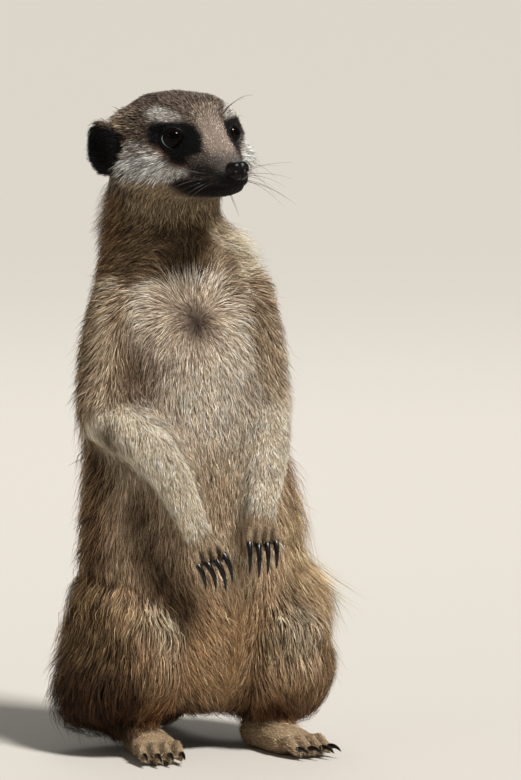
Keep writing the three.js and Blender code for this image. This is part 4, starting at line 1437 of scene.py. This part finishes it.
pad = new_object("nose_leather", *nose_pad(), nose_leather())
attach(pad, "root")
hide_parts("nose")
print("nose:", [round(float(d) / MM, 1) for d in np.ptp(points_of(pad.data), axis=0)], "mm")

# %% [markdown]
# ## Claws
# Digging claws are long, dark, smooth horn, curved down to a point. Each follows the middle line of its
# solid: a parabola fitted to the solid's points gives the path, and a tube is carried along it. The thicker
# end of the solid is the root.

# %% Claws


def claw_horn():
    """Horn grown in layers: near black, with faint lines along it and a polish from digging."""
    material, tree = start_material("claw horn")
    stretched = add_node(tree, "Mapping", inputs={"Vector": own_place(tree), "Scale": (1.0, 0.25, 0.25)})
    streak = noise(tree, stretched.outputs["Vector"], 2200.0, 3.0)
    ramp = add_node(tree, "ValToRGB", inputs={"Fac": streak})
    set_stops(ramp, {0.35: "#050404", 0.7: "#15100d"})
    return finish_material(material, {
        "Base Color": ramp.outputs["Color"], "Roughness": 0.22, "Specular IOR Level": 0.35,
        "Normal": bumped(tree, streak, 0.3, 0.0001)})


CLAW_ARCH = 2.0  # how much more curved than the plain solid, between the same two ends
CLAW_ROOT = 1.2 * MM  # how far it starts inside the digit


def claw(node, steps=18, sides=12):
    """A tube along the parabola through a claw solid's points, from a little inside the digit to the tip,
    arched between its ends. Its radius starts as the root's and falls as (1 - s^1.6)^0.65 to the point."""
    points, _ = merged(node)
    centre = points.mean(0)
    axis = np.linalg.svd(points - centre, full_matrices=False)[2][0]
    along = (points - centre) @ axis
    off = np.linalg.norm(points - centre - along[:, None] * axis, axis=1)
    if off[along > np.quantile(along, 0.75)].mean() > off[along < np.quantile(along, 0.25)].mean():
        along = -along
    curve = np.polyfit(along, points, 2)
    s = np.linspace(0, 1, steps)
    reach = along.min() - CLAW_ROOT + s * (np.ptp(along) + CLAW_ROOT)
    arched = CLAW_ARCH * reach ** 2 + (1 - CLAW_ARCH) * reach[0] ** 2
    path = curve[0] * arched[:, None] + curve[1] * reach[:, None] + curve[2]
    thick = off[along < np.quantile(along, 0.3)].max() * 1.02
    radii = thick * (1 - 0.98 * s ** 1.6) ** 0.65
    return tube(path, radii, sides, (1.0, 0.0, 0.05))


horn = claw_horn()
for paw in PAWS:
    nodes = claw_nodes(paw)
    claws = new_object(f"claws_{paw}", *joined([claw(node) for node in nodes]), horn)
    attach(claws, "root")
    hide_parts(*nodes)
print("claws made")

# %% [markdown]
# ## Whiskers
# Whiskers are stiff tapered hairs, much thicker than the coat's: on the lip, above the eye, on the cheek and
# under the chin. Each is a thin tube that sags a little, set in rows.

# %% Whiskers
WHISKER_RADIUS = 0.11
WHISKER_ROOT = 0.6  # how far it starts inside the skin
# On one side of the face, in millimetres: the root, the way out, the length and the sag.
WHISKERS = [
    ((6.6, -35.5, -17.5), (1, -0.15, 0.10), 21, 5), ((7.6, -33.5, -16.2), (1, 0.05, 0.28), 24, 5),
    ((8.4, -31.5, -17.8), (1, 0.25, 0.0), 27, 7), ((9.2, -29.5, -16.4), (1, 0.35, 0.2), 26, 6),
    ((6.8, -35.0, -19.6), (1, -0.2, -0.25), 20, 6), ((8.2, -32.0, -20.0), (1, 0.1, -0.25), 26, 8),
    ((9.6, -28.5, -19.6), (1, 0.4, -0.2), 28, 8), ((10.4, -26.5, -18.2), (1, 0.5, 0.0), 24, 6),
    ((9.5, -19.5, 8.6), (0.45, -0.55, 0.9), 19, 7), ((11.5, -17.0, 9.4), (0.6, -0.4, 0.9), 22, 8),
    ((13.5, -14.0, 10.0), (0.8, -0.2, 0.8), 21, 8), ((8.0, -21.0, 7.4), (0.25, -0.7, 0.8), 15, 5),
    ((23.5, -8.0, -13.5), (1, 0.25, -0.15), 18, 6), ((22.5, -9.5, -17.0), (1, 0.1, -0.35), 20, 7),
    ((3.0, -30.0, -25.5), (0.4, -0.2, -0.9), 9, 1), ((5.0, -26.0, -25.8), (0.5, 0.1, -0.9), 10, 1),
]
H_skin = in_head(P)


def whisker(root, way, length, sag, steps=9):
    """A tube of five sides along root + way s length - up sag s^2, whose radius falls as 1 - 0.85 s."""
    start = in_head(P[np.linalg.norm(H_skin - np.array(root), axis=1).argmin()][None])[0]
    s = np.linspace(0, 1, steps)[:, None]
    path = start + unit(np.array(way, float)) * (s * length - WHISKER_ROOT) - UP * sag * s ** 2
    radii = WHISKER_RADIUS * MM * (1 - 0.85 * s[:, 0])
    return tube(from_head(path), radii, 5, (0.3, 0.2, 1.0))


hairs = []
for which in (-1, 1):
    for root, way, length, sag in WHISKERS:
        mirror = np.array([which, 1, 1])
        bent = np.array(way) + chance.normal(0, 0.06, 3)
        hairs.append(whisker(root * mirror, bent * mirror, length * chance.uniform(0.9, 1.1), sag))
bristle, _ = start_material("whisker horn")
finish_material(bristle, {"Base Color": rgba("#2a1a10"), "Roughness": 0.35, "IOR": 1.55})
whiskers = new_object("whiskers", *joined(hairs), bristle)
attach(whiskers, "root")
print("whiskers:", len(hairs))
